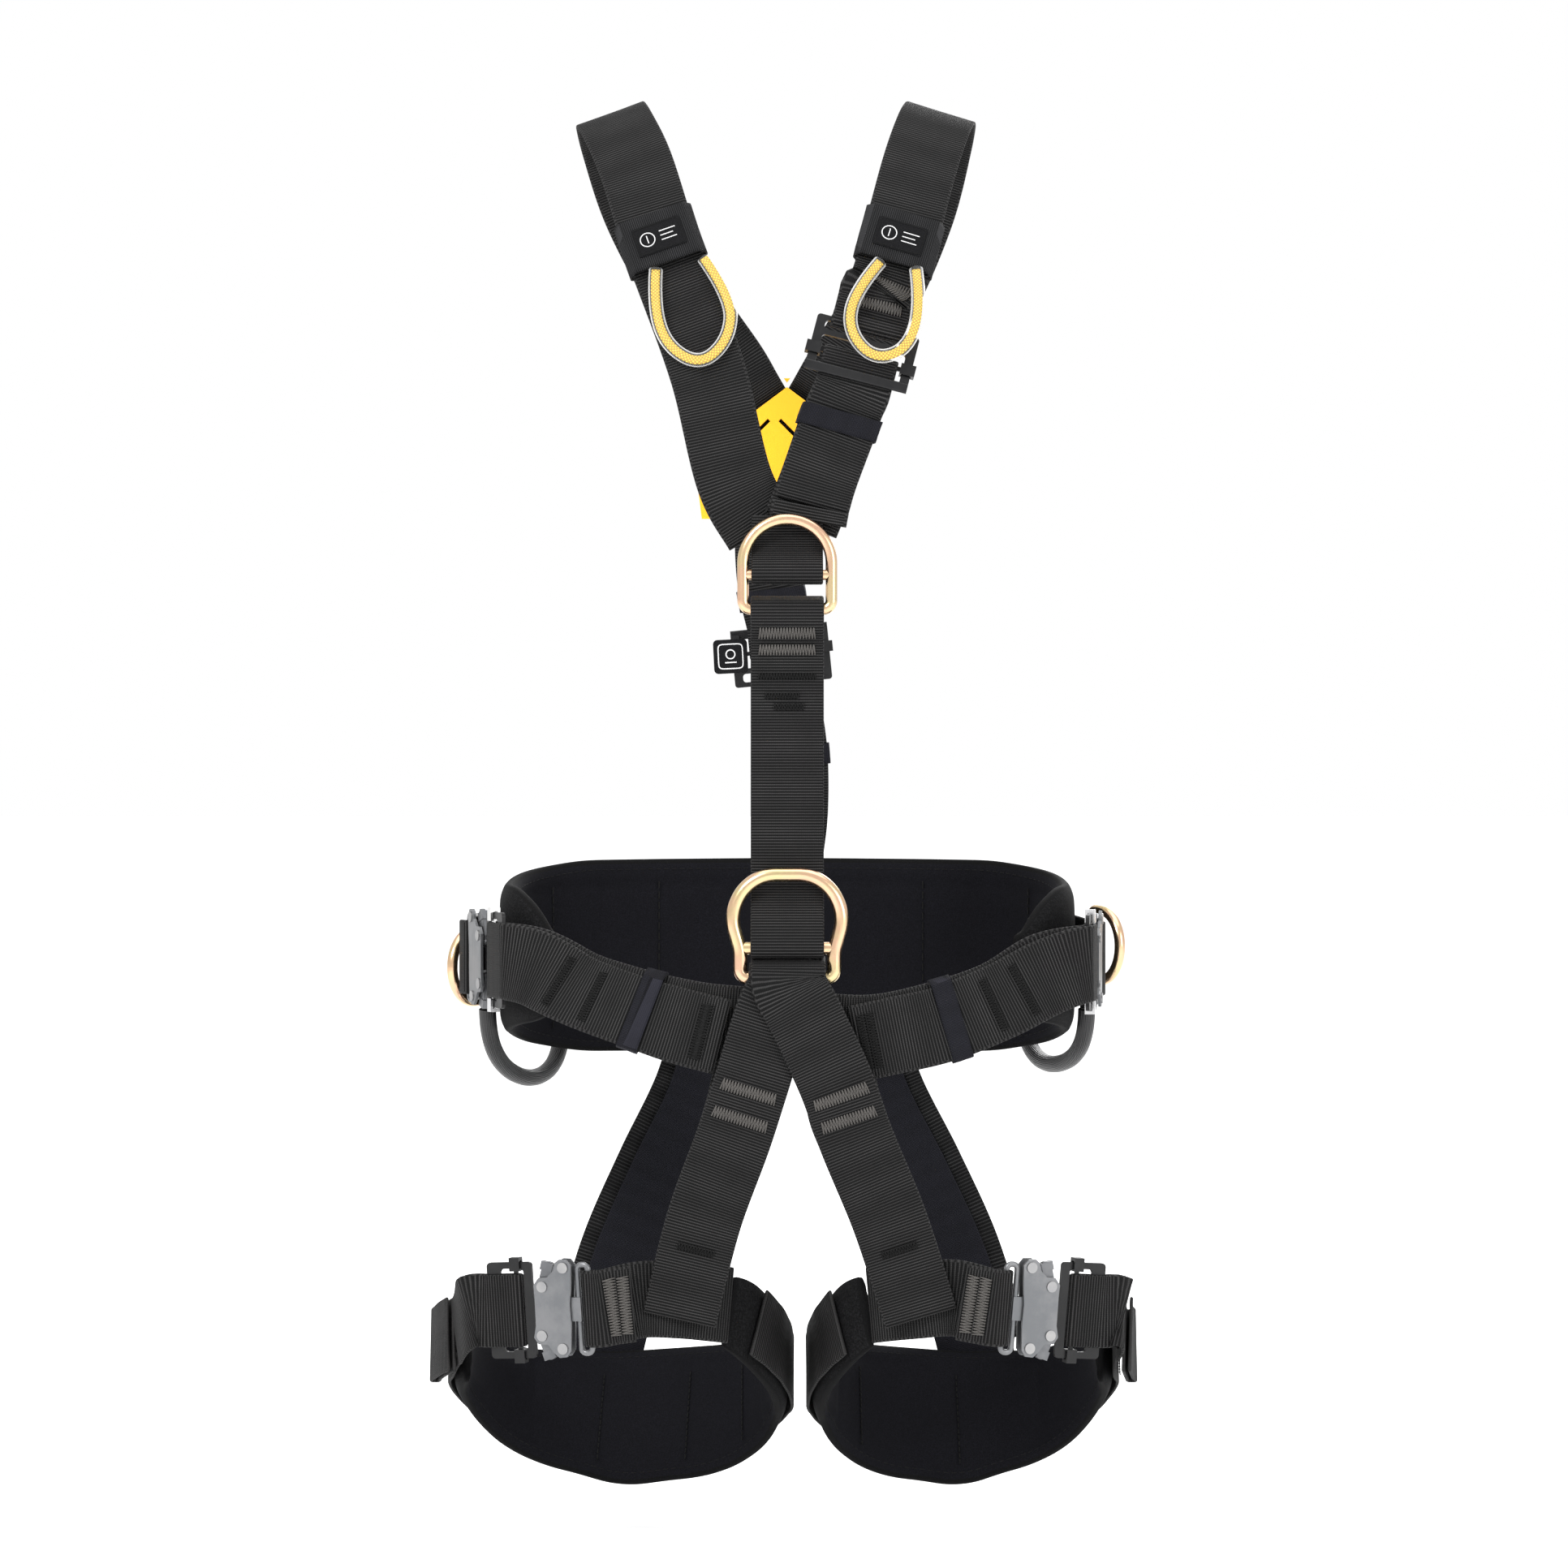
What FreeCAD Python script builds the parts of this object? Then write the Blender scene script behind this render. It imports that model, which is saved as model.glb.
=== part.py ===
"""Full body arborist harness: webbing, padded waist belt and leg loops, rings and quick buckles.

The origin is the middle of the wearer's waist, inside the belt. +X is towards the reader's right
when the harness is seen from the front, -Y is the front of the wearer and +Z is up.
All sizes are in millimetres.
"""
import FreeCAD, Part
import math
import os

V = FreeCAD.Vector
os.makedirs("parts", exist_ok=True)

# ---------------------------------------------------------------- driving dimensions
WEB_W = 45.0            # load bearing webbing, width
WEB_T = 2.2             # load bearing webbing, thickness
GAP = 0.6               # air between layers of webbing that lie on each other
BELT_A, BELT_B = 170.0, 110.0    # half width and half depth of the belt pad's middle surface
BELT_POWER = 2.5        # squareness of the belt's plan, 2 is an ellipse
PAD_T = 12.0            # thickness of the belt pad
BELT_END = 132.0        # degrees from the middle of the back to the front end of the belt pad
LEG_B = 84.5            # half depth of a leg loop in plan
LEG_PAD_T = 11.0
STERNAL_Y = -117.0      # plane of the sternal ring
VENTRAL_Y = -120.0      # plane of the ventral ring
CHEST_Y = -112.6        # middle of the chest strap's front layer
TUBE_R = 5.25           # gear loop tube
PARK_R = 4.8            # parking loop tube
LEG_SIDES = {"left": (-1, -101.0, 96.0), "right": (1, 106.5, 86.0)}   # side sign, centre X, half width


# place, direction of +u, direction of +v of the pieces that are drawn in local axes
BUCKLES = {
    "leg_left": ((-136.5, -104, -200.5), (1, -0.35, 0.06), (-0.08, 0, 1)),
    "leg_right": ((147.5, -102.5, -200.5), (-1, -0.4, 0.08), (0.1, 0, 1)),
    "waist_left": ((-184.5, -43, 4), (-0.38, 0.92, 0), (0, 0, 1)),
    "waist_right": ((184.5, -50, 3), (0.16, 0.98, 0), (0, 0, 1))}
ADJUSTERS = {
    "shoulder": ((44.2, -97.6, 363.5), (0.25, 0.2, 0.97), (1, 0, -0.26)),
    "spine": ((-3.6, 104.6, 190), (0.1, 0.02, -1), (1, 0, 0.1))}
LINK_U = 22.0           # outer rod of a buckle's link
BAR_U = -23.6           # sliding bar of a buckle's tongue
RAIL_U = 15.5           # top rail of a three bar adjuster
FOLD_R = 3.1            # middle of webbing folded round a bar
RAIL_FOLD_R = 3.4


# ---------------------------------------------------------------- helpers
def save(name, *solids):
    shape = solids[0] if len(solids) == 1 else Part.makeCompound(list(solids))
    for solid in solids:
        if not solid.isValid() or solid.Volume <= 0:
            print("bad solid in", name, solid.Volume)
    shape.exportStep("parts/%s.step" % name)


def facet_solid(rings):
    """Closed solid through a row of polygon rings that all have the same number of corners.

    Opposite sides are split along matching diagonals, so a twisted strap keeps its thickness.
    """
    faces = []

    def face(*corners):
        loop = [c for i, c in enumerate(corners) if (c - corners[i - 1]).Length > 1e-6]
        if len(loop) > 2:
            faces.append(Part.Face(Part.makePolygon(loop + loop[:1])))

    def quad(a, b, c, d, turned):
        normal = (b - a).cross(c - a)
        flat = normal.Length > 1e-9 and abs((d - a).dot(normal.normalize())) < 1e-7
        if flat:
            face(a, b, c, d)
        elif turned:
            face(a, b, d)
            face(b, c, d)
        else:
            face(a, b, c)
            face(a, c, d)

    count = len(rings[0])
    for ring, following in zip(rings, rings[1:]):
        for i in range(count):
            j = (i + 1) % count
            quad(ring[i], ring[j], following[j], following[i], 2 * i >= count)
    for ring in (rings[0], rings[-1]):
        middle = sum(ring, V()) * (1.0 / count)
        for i in range(count):
            face(ring[i], ring[(i + 1) % count], middle)
    shell = Part.makeShell(faces)
    shell.sewShape()
    solid = Part.makeSolid(shell)
    if solid.Volume < 0:
        solid.reverse()
    return solid


def eased(values, steps):
    """Catmull-Rom points through a list of vectors, steps to each span."""
    if steps == 1:
        return list(values)
    out = []
    for i in range(len(values) - 1):
        p0, p1, p2 = values[max(i - 1, 0)], values[i], values[i + 1]
        p3 = values[min(i + 2, len(values) - 1)]
        for k in range(steps):
            t = k / steps
            out.append((p1 * 2 + (p2 - p0) * t + (p0 * 2 - p1 * 5 + p2 * 4 - p3) * t * t
                        + (p1 * 3 - p0 - p2 * 3 + p3) * t ** 3) * 0.5)
    return out + [values[-1]]


def ribbon(route, width=WEB_W, thick=WEB_T, steps=3):
    """Flat strap along a route of (centre, across) pairs, where across points over the width."""
    centres = eased([V(*c) for c, a in route], steps)
    acrosses = eased([V(*a) for c, a in route], steps)
    rings = []
    for i, centre in enumerate(centres):
        tangent = (centres[min(i + 1, len(centres) - 1)] - centres[max(i - 1, 0)]).normalize()
        across = acrosses[i] - tangent * acrosses[i].dot(tangent)
        across = across.normalize() * (width / 2)
        up = tangent.cross(across).normalize() * (thick / 2)
        rings.append([centre + across + up, centre - across + up, centre - across - up, centre + across - up])
    return facet_solid(rings)


def bend(y, z, radius, start, end, count=7, x=0.0):
    """Points of an arc in the YZ plane, angles in degrees from +Y towards +Z."""
    angles = [math.radians(start + (end - start) * k / (count - 1)) for k in range(count)]
    return [(x, y + radius * math.cos(a), z + radius * math.sin(a)) for a in angles]


def round_path(points, radii, closed=False):
    """Wire of straight runs joined by tangent arcs."""
    count = len(points)
    inner = range(count) if closed else range(1, count - 1)
    arcs = []
    for i in inner:
        before, corner, after = points[i - 1], points[i], points[(i + 1) % count]
        u = (before - corner).normalize()
        v = (after - corner).normalize()
        half = math.acos(max(-1.0, min(1.0, u.dot(v)))) / 2
        reach = radii[i] / math.tan(half)
        bisector = (u + v).normalize()
        middle = corner + bisector * (radii[i] / math.sin(half) - radii[i])
        arcs.append((corner + u * reach, middle, corner + v * reach))
    edges = []
    last = arcs[-1][2] if closed else points[0]
    for start, middle, end in arcs:
        if (start - last).Length > 1e-5:
            edges.append(Part.LineSegment(last, start).toShape())
        edges.append(Part.Arc(start, middle, end).toShape())
        last = end
    if not closed:
        edges.append(Part.LineSegment(last, points[-1]).toShape())
    return Part.Wire(edges)


def rod_along(wire, radius):
    edge = wire.Edges[0]
    start = edge.valueAt(edge.FirstParameter)
    circle = Part.Wire(Part.makeCircle(radius, start, edge.tangentAt(edge.FirstParameter)))
    return wire.makePipeShell([circle], True, False)


def cord_tube(name, points, radius):
    """Tube through a loose loop of tube or cord, with arcs as large as the runs allow."""
    points = [V(*p) for p in points]
    radii = [0.0]
    for before, corner, after in zip(points, points[1:], points[2:]):
        u, v = before - corner, after - corner
        turn = math.pi - u.getAngle(v)
        radii.append(0.45 * min(u.Length, v.Length) / math.tan(turn / 2))
    wire = round_path(points, radii + [0.0])
    tube = rod_along(wire, radius)
    print(name, "length %.0f" % wire.Length, "smallest radius %.1f" % min(radii[1:]),
          "volume ratio %.4f" % (tube.Volume / (math.pi * radius ** 2 * wire.Length)))
    return tube


def placed(shape, origin, u, v):
    """Move a shape drawn in local (u, v, w) axes to its place; w is u cross v."""
    u, v = V(*u).normalize(), V(*v)
    w = u.cross(v).normalize()
    v = w.cross(u)
    matrix = FreeCAD.Matrix(u.x, v.x, w.x, origin[0], u.y, v.y, w.y, origin[1],
                            u.z, v.z, w.z, origin[2], 0, 0, 0, 1)
    return shape.transformGeometry(matrix) if matrix.determinant() < 0 else shape.transformed(matrix)


def local_point(frame, u, w):
    """Point at (u, 0, w) of a piece placed with frame = (origin, along, over)."""
    origin, along, over = V(*frame[0]), V(*frame[1]).normalize(), V(*frame[2])
    normal = along.cross(over).normalize()
    return tuple(origin + along * u + normal * w)


def wrap(frame, u0, radius, sense, front_reach, rear_reach, first=1, near=0.82):
    """Route of webbing folded round a bar at u0; both layers leave towards sense times +u.

    It starts with the layer on the side first (+1 or -1) of the piece, and ends with the other.
    A long layer has one more point, at the share near of its reach, so it stays flat up to there.
    """
    route = [local_point(frame, u0 + sense * front_reach * part, first * radius)
             for part in (1, near) if part == 1 or front_reach > 12]
    for k in range(7):
        angle = math.pi * k / 6
        route.append(local_point(frame, u0 - sense * radius * math.sin(angle), first * radius * math.cos(angle)))
    route += [local_point(frame, u0 + sense * rear_reach * part, -first * radius)
              for part in (near, 1) if part == 1 or rear_reach > 12]
    along = V(*frame[1]).normalize()
    across = along.cross(V(*frame[2])).cross(along)
    return [(point, tuple(across)) for point in route]


def smooth(route, steps=2):
    """Route with eased points put in between its own."""
    centres = eased([V(*c) for c, a in route], steps)
    acrosses = eased([V(*a) for c, a in route], steps)
    return [(tuple(c), tuple(a)) for c, a in zip(centres, acrosses)]


def slab(outline, low, high):
    """Plate with a polygon outline in local (u, v), from low to high along w."""
    corners = [V(u, v, low) for u, v in outline]
    return Part.Face(Part.makePolygon(corners + corners[:1])).extrude(V(0, 0, high - low))


def pill(u0, v0, u1, v1, radius, low, high):
    """Flat link with round ends between two points."""
    ends = [Part.makeCylinder(radius, high - low, V(u, v, low)) for u, v in ((u0, v0), (u1, v1))]
    length = math.hypot(u1 - u0, v1 - v0)
    side_u, side_v = -(v1 - v0) / length * radius, (u1 - u0) / length * radius
    bar = slab([(u0 + side_u, v0 + side_v), (u1 + side_u, v1 + side_v),
                (u1 - side_u, v1 - side_v), (u0 - side_u, v0 - side_v)], low, high)
    return ends[0].fuse([bar, ends[1]]).removeSplitter()


def box(u0, u1, v0, v1, w0, w1):
    return Part.makeBox(u1 - u0, v1 - v0, w1 - w0, V(u0, v0, w0))


# ---------------------------------------------------------------- waist belt
def belt_point(degrees, offset=0.0):
    """Point of the belt's plan, degrees from the middle of the back, positive to +X."""
    s, c = math.sin(math.radians(degrees)), math.cos(math.radians(degrees))
    x = (BELT_A + offset) * math.copysign(abs(s) ** (2 / BELT_POWER), s)
    y = (BELT_B + offset) * math.copysign(abs(c) ** (2 / BELT_POWER), c)
    return x, y


def between(value, table):
    """Straight interpolation in a short table of (key, value) pairs."""
    for (k0, v0), (k1, v1) in zip(table, table[1:]):
        if value <= k1:
            return v0 + (v1 - v0) * (value - k0) / (k1 - k0)
    return table[-1][1]


def padded_ring(centre, out, up, low, high, thick):
    """Eight sided section of a pad: out is the thickness direction, up the height direction."""
    t, r = thick / 2, thick * 0.35
    corners = [(t, low + r), (t, high - r), (t - r, high), (r - t, high),
               (-t, high - r), (-t, low + r), (r - t, low), (t - r, low)]
    return [centre + out * a + up * b for a, b in corners]


def belt_pad():
    top = [(0, 62), (45, 61), (70, 55), (90, 49), (110, 47), (122, 36), (BELT_END, 12)]
    bottom = [(0, -62), (45, -60), (70, -52), (90, -43), (110, -36), (122, -33), (BELT_END, -24)]
    rings = []
    steps = 36
    for k in range(steps + 1):
        degrees = -BELT_END + 2 * BELT_END * k / steps
        x, y = belt_point(degrees)
        x1, y1 = belt_point(degrees, 1.0)
        x2, y2 = belt_point(degrees + 0.5)
        out = V(y2 - y, x - x2, 0).normalize()
        if out.dot(V(x1 - x, y1 - y, 0)) < 0:
            out = out * -1
        low, high = between(abs(degrees), bottom), between(abs(degrees), top)
        rings.append(padded_ring(V(x, y, 0), out, V(0, 0, 1), low, high, PAD_T))
    save("belt_pad", facet_solid(rings))


def belt_webbing():
    """Outer webbing of the belt, from the left buckle's link round the back to the right one."""
    over = [(0, 0, 1)]
    left = wrap(BUCKLES["waist_left"], LINK_U, FOLD_R, 1, 7, 5, -1)
    right = wrap(BUCKLES["waist_right"], LINK_U, FOLD_R, 1, 6, 9, -1)
    route = left + [((-184, -4, 5), over[0]), ((-179.8, 7, 6), over[0])]
    for degrees in range(-82, 83, 10):
        x, y = belt_point(degrees, PAD_T / 2 + 1.0 + WEB_T / 2)
        route.append(((x, y, 6), over[0]))
    route += right
    save("belt_webbing", ribbon(route, steps=1))


def waist_front():
    """Strap across the front: folded round both adjuster bars, its tails lying on its outside."""
    left_bar = wrap(BUCKLES["waist_left"], BAR_U, FOLD_R, -1, 25, 25, -1)
    right_bar = wrap(BUCKLES["waist_right"], BAR_U, FOLD_R, -1, 22, 25, -1)
    inner = [((-149, -92.5, 1.5), (0, 0.2, 0.98)), ((-120, -103.5, -11), (0, 0.45, 0.9)),
             ((-90, -110.5, -20), (0, 0.42, 0.9)), ((-55, -114.5, -29), (0, 0.2, 0.97)),
             ((0, -115.5, -34), (0, 0, 1)), ((50, -114.5, -37), (0, 0, 1)),
             ((90, -110.5, -29), (0, 0.15, 0.98)), ((124.5, -103.5, -17.4), (0, 0.2, 0.97)),
             ((153, -94.5, -1), (0, 0.1, 1))]
    left_tail = [((-38, -121.8, -39), (0, 0.05, 1)), ((-58, -120, -34), (0, 0.18, 0.97)),
                 ((-91, -116.4, -24), (0, 0.4, 0.9)), ((-122, -109.9, -13), (0, 0.44, 0.9)),
                 ((-150.5, -99, 0.5), (0, 0.2, 0.98))]
    right_tail = [((169, -103.4, 1), (0, 0.05, 1)), ((151, -103.4, -6), (0, 0.12, 0.98)),
                  ((126, -108.8, -18.5), (0, 0.2, 0.97)),
                  ((91, -114.8, -32), (0, 0.15, 0.98)), ((62, -118.6, -38.5), (0, 0.05, 1)),
                  ((40, -120.4, -43), (0, 0, 1))]
    route = left_tail + left_bar + inner + right_bar + right_tail
    save("waist_strap", ribbon(route, steps=1))


def keeper(centre, across, along, width, thick, length):
    """Elastic keeper: a flat closed band round a strap; across is over the strap's width."""
    outer = box(-width / 2, width / 2, -length / 2, length / 2, -thick / 2, thick / 2)
    wall = 1.0
    inner = box(wall - width / 2, width / 2 - wall, -length, length, wall - thick / 2, thick / 2 - wall)
    return placed(outer.cut(inner), centre, across, along)


def elastic_keepers():
    """The elastic bands that hold the loose tails on the waist, shoulder and spine straps."""
    parts = [
        keeper((-85, -114.0, -23.6), (0, 0.41, 0.9), (1, -0.2, -0.3), 60, 17.0, 12),
        keeper((96, -111.8, -29.2), (0, 0.16, 0.98), (1, 0.19, 0.27), 59, 14.8, 12.5),
        keeper((30.6, -101.6, 322), (1, 0, -0.27), (0.26, 0.08, 0.96), 53, 10.8, 12.5),
        keeper((-9.4, 101.3, 227), (1, 0, 0.1), (-0.11, -0.14, 1), 50, 13.0, 13),
        keeper((6, 101.6, 127), (1, 0, 0.1), (-0.09, -0.12, 1), 50, 7.4, 13)]
    save("elastic_keepers", *parts)


# ---------------------------------------------------------------- chest and rings
VENTRAL_CROSS_Z = 12.8
VENTRAL_BAR_Z = -4.5
STERNAL_CROSS_Z = 231.5
STERNAL_BAR_Z = 211.5
VENTRAL_WIRE_R = 4.1
RISER_W = 44.0
CHEST_W = 43.0                   # clears the legs of the sternal ring
STERNAL_WIRE_R = 3.4
DORSAL_HINGE = 106.2, 322.0      # Y and Z of the dorsal ring's straight bar
DORSAL_WIRE_R = 3.5
DORSAL_W = 40.0                  # width of the spine strap


def x_bar(y, z, half, radius):
    return Part.makeCylinder(radius, 2 * half, V(-half, y, z), V(1, 0, 0))


def sternal_ring():
    half, arch_z = 25.9, 238.2
    corners = [(-half, STERNAL_BAR_Z), (half, STERNAL_BAR_Z), (half, arch_z + half), (-half, arch_z + half)]
    wire = round_path([V(x, STERNAL_Y, z) for x, z in corners], [5, 5, half - 0.2, half - 0.2], True)
    ring = rod_along(wire, STERNAL_WIRE_R)
    save("sternal_ring", ring.fuse(x_bar(STERNAL_Y, STERNAL_CROSS_Z, half, 3.0)))


def ventral_ring():
    corners = [(-27.5, VENTRAL_BAR_Z), (27.5, VENTRAL_BAR_Z), (27.5, 12), (33.5, 32), (22, 56),
               (-22, 56), (-33.5, 32), (-27.5, 12)]
    radii = [5, 5, 25, 25, 25, 25, 25, 25]
    wire = round_path([V(x, VENTRAL_Y, z) for x, z in corners], radii, True)
    ring = rod_along(wire, VENTRAL_WIRE_R)
    save("ventral_ring", ring.fuse(x_bar(VENTRAL_Y, VENTRAL_CROSS_Z, 27.5, 3.6)))


def chest_strap():
    """Vertical strap between the rings, folded round a bar at each end."""
    low_r = 3.6 + 0.5 + WEB_T / 2
    top_r = STERNAL_WIRE_R + 0.5 + WEB_T / 2
    swing = 8.6
    rear_y = CHEST_Y + WEB_T + GAP
    points = [(0, rear_y, 58), (0, VENTRAL_Y + low_r + 0.4, 26)]
    points += bend(VENTRAL_Y, VENTRAL_CROSS_Z, low_r, 0, -180)
    points += [(0, VENTRAL_Y - low_r + 0.8, 24), (0, CHEST_Y - 1.4, 46), (0, CHEST_Y, 58), (0, CHEST_Y, 185),
               (0, STERNAL_Y - top_r + 1.2, 202)]
    points += bend(STERNAL_Y, STERNAL_BAR_Z, top_r, 180, 90, 4)
    points += [(0, STERNAL_Y + swing * 0.5, STERNAL_BAR_Z + top_r + 1.6)]
    points += bend(STERNAL_Y + swing, STERNAL_BAR_Z + 2.2, top_r, 80, 0, 4)
    points += [(0, STERNAL_Y + swing + top_r - 1.0, 200), (0, rear_y, 182), (0, rear_y, 150)]
    save("chest_strap", ribbon([(p, (1, 0, 0)) for p in points], width=CHEST_W, steps=1))


def sternal_loop():
    """Short loop that ties the shoulder straps to the sternal ring's cross bar."""
    radius = 3.0 + 0.5 + WEB_T / 2
    points = [(0, -108.6, 267), (0, -108.6, 256), (0, -112.2, 247), (0, STERNAL_Y - radius + 0.8, 236)]
    points += bend(STERNAL_Y, STERNAL_CROSS_Z, radius, 180, 360)
    points += [(0, -108.0, 240), (0, -100.6, 254), (0, -99.6, 268)]
    save("sternal_loop", ribbon([(p, (1, 0, 0)) for p in points], width=42, steps=1))


def label():
    plate = box(-10, 10, -10, 10, -0.7, 0.7)
    save("attachment_label", placed(plate, (-33.3, -109.6, 184), (1, 0, 0.05), (-0.05, 0, 1)))


def leg_risers():
    """Doubled straps from the ventral ring's lower bar to the front of each leg loop."""
    inner_r = VENTRAL_WIRE_R + 0.5 + WEB_T / 2
    paths = {
        "left": (-0.6, inner_r,
                 [(-8, -126.2, -24, 0.3), (-20.7, -125.6, -65, 0.27), (-31.2, -121.5, -98, 0.29),
                  (-48.5, -113.5, -146, 0.29), (-61, -109, -195, 0.26), (-63.5, -108.4, -206, 0.26)]),
        "right": (0.6, inner_r + WEB_T + 1.5,
                  [(9, -129.4, -24, -0.42), (28.3, -128.4, -65, -0.36), (40, -123.6, -98, -0.34),
                   (59.6, -115.6, -146, -0.33), (75.3, -109.8, -194, -0.3), (78.6, -109.2, -205, -0.3)])}
    swing = 8.7
    for side, (top_x, radius, front) in paths.items():
        rear_y = VENTRAL_Y + swing + radius
        route = [((x, y, z), (1, 0, -lean)) for x, y, z, lean in reversed(front)]
        low_x, lean = top_x + (front[0][0] - top_x) * 0.25, front[0][3]
        route += [((low_x, VENTRAL_Y - radius, VENTRAL_BAR_Z - 8), (1, 0, -lean)),
                  ((top_x, VENTRAL_Y - radius, VENTRAL_BAR_Z - 1.5), (1, 0, -lean / 2))]
        arch = bend(VENTRAL_Y, VENTRAL_BAR_Z, radius, 150, 100, 3, top_x)
        arch += bend(VENTRAL_Y + swing, VENTRAL_BAR_Z + 2.2, radius, 75, 0, 4, top_x)
        route += [(p, (1, 0, 0)) for p in arch]
        route += [((top_x, rear_y, VENTRAL_BAR_Z - 7), (1, 0, 0))]
        rear = [(front[0][0], rear_y, -26, front[0][3]), (front[1][0], rear_y, -60, front[1][3]),
                (front[2][0] * 0.86, front[2][1] + WEB_T + GAP, -84, front[2][3]),
                (front[2][0], front[2][1] + WEB_T + GAP, -98, front[2][3])]
        route += [((x, y, z), (1, 0, -lean)) for x, y, z, lean in rear]
        save("leg_riser_%s" % side, ribbon(route, width=RISER_W, steps=1))


# ---------------------------------------------------------------- shoulders and back
def shoulder_straps():
    """Left strap in one piece; the right one ends in its adjuster."""
    left = [((-14.6, -103.1, 258), (1, 0, 0.25)), ((-29.6, -102.4, 284), (1, 0, 0.3)),
            ((-47, -97, 352), (1, 0, 0.33)), ((-75.6, -74, 432), (1, 0, 0.35)),
            ((-92, -48, 484), (1, 0.05, 0.4)), ((-104, -22, 511), (1, 0.2, 0.42)),
            ((-108.5, 2, 519), (1, 0.25, 0.4)), ((-106, 28, 507), (1, 0.15, 0.4)),
            ((-93, 58, 468), (1, 0.1, 0.45)), ((-64, 79, 415), (0.9, 0, 0.55)),
            ((-34, 85.5, 372), (0.8, 0, 0.6)), ((-26.2, 86.6, 358.5), (0.8, 0, 0.6)),
            ((-18.4, 94.6, 346), (0.8, 0, 0.6)), ((-8, 95.2, 330), (0.8, 0, 0.6))]
    save("shoulder_strap_left", ribbon(left, steps=2))
    top_rail = wrap(ADJUSTERS["shoulder"], RAIL_U, RAIL_FOLD_R, 1, 26, 5, 1, 0.7)
    right = [((58.5, -82.5, 405), (1, 0, -0.3)), ((66.6, -74, 432), (1, 0, -0.3)),
             ((80.5, -48, 484), (1, -0.05, -0.33)), ((90, -22, 512), (1, -0.15, -0.34)),
             ((94.5, 2, 520), (1, -0.2, -0.34)), ((93, 28, 508), (1, -0.12, -0.36)),
             ((83, 58, 468), (1, -0.1, -0.42)), ((60, 79, 415), (0.9, 0, -0.5)),
             ((34, 85.5, 372), (0.8, 0, -0.6)), ((26.2, 86.6, 358.5), (0.8, 0, -0.6)),
             ((18.4, 97.6, 346), (0.8, 0, -0.6)), ((13, 98.6, 337.5), (0.8, 0, -0.6)),
             ((7, 98.6, 328), (0.8, 0, -0.6))]
    save("shoulder_strap_right", ribbon(top_rail[::-1] + smooth(right), steps=1))


def lower_right_strap():
    """Strap from the sternal loop up through the shoulder adjuster, its tail folded back down."""
    bar = wrap(ADJUSTERS["shoulder"], -4.0, FOLD_R, -1, 19, 19, 1, 0.74)
    lean = (1, 0, -0.26)
    main = [((8, -105.6, 262), lean), ((16.8, -105.2, 284), lean), ((30, -99.4, 322), lean),
            ((33.8, -98.8, 331.5), lean)]
    tail = [((34.2, -104.2, 331.5), lean), ((31, -103.8, 322), lean), ((18.5, -108.3, 288), lean),
            ((14.2, -109.6, 273), lean)]
    main += bar + tail
    roll = [((13.6, -112.4, 272), lean), ((12.8, -112.4, 268), lean), ((12, -112.4, 263.5), lean)]
    save("shoulder_strap_lower", ribbon(main, steps=1), ribbon(roll, width=46, thick=2.6, steps=1))


def parking_sleeves():
    parts = []
    for x, y, z, lean in ((-75.4, -73.5, 432, 0.35), (66.6, -73.4, 432, -0.3)):
        body = box(-24.5, 24.5, -17, 17, -3.4, 9.4)
        slot = box(-23.4, 23.4, -40, 40, -2.4, 2.4)
        parts.append(placed(body.cut(slot), (x, y, z), (1, 0, lean), (-lean, 0.383, 1)))
    save("parking_sleeves", *parts)


def dorsal_plate():
    """Moulded plate behind the shoulder blades, with slots for the crossing straps."""
    outline = [(-64, 366), (48, 366), (46.5, 345), (38, 277), (-54, 277), (-62.5, 345)]
    plate = slab(outline, 88.6, 92.2)
    for sign in (-1, 1):
        slot = box(-24.5, 24.5, -7, 7, 80, 100)
        slot.rotate(V(), V(0, 0, 1), -sign * 36.9)
        slot.translate(V(sign * 22.4, 352.4, 0))
        plate = plate.cut(slot)
        small = box(-8, 8, -1.2, 1.2, 80, 100)
        small.rotate(V(), V(0, 0, 1), -sign * 45)
        small.translate(V(sign * 9 - 8, 334, 0))
        plate = plate.cut(small)
    save("dorsal_plate", placed_yz(plate))


def placed_yz(shape):
    """Local (u, v, w) becomes (x, z, y), a mirror that keeps w as depth."""
    matrix = FreeCAD.Matrix(1, 0, 0, 0, 0, 0, 1, 0, 0, 1, 0, 0, 0, 0, 0, 1)
    return shape.transformGeometry(matrix)


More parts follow.
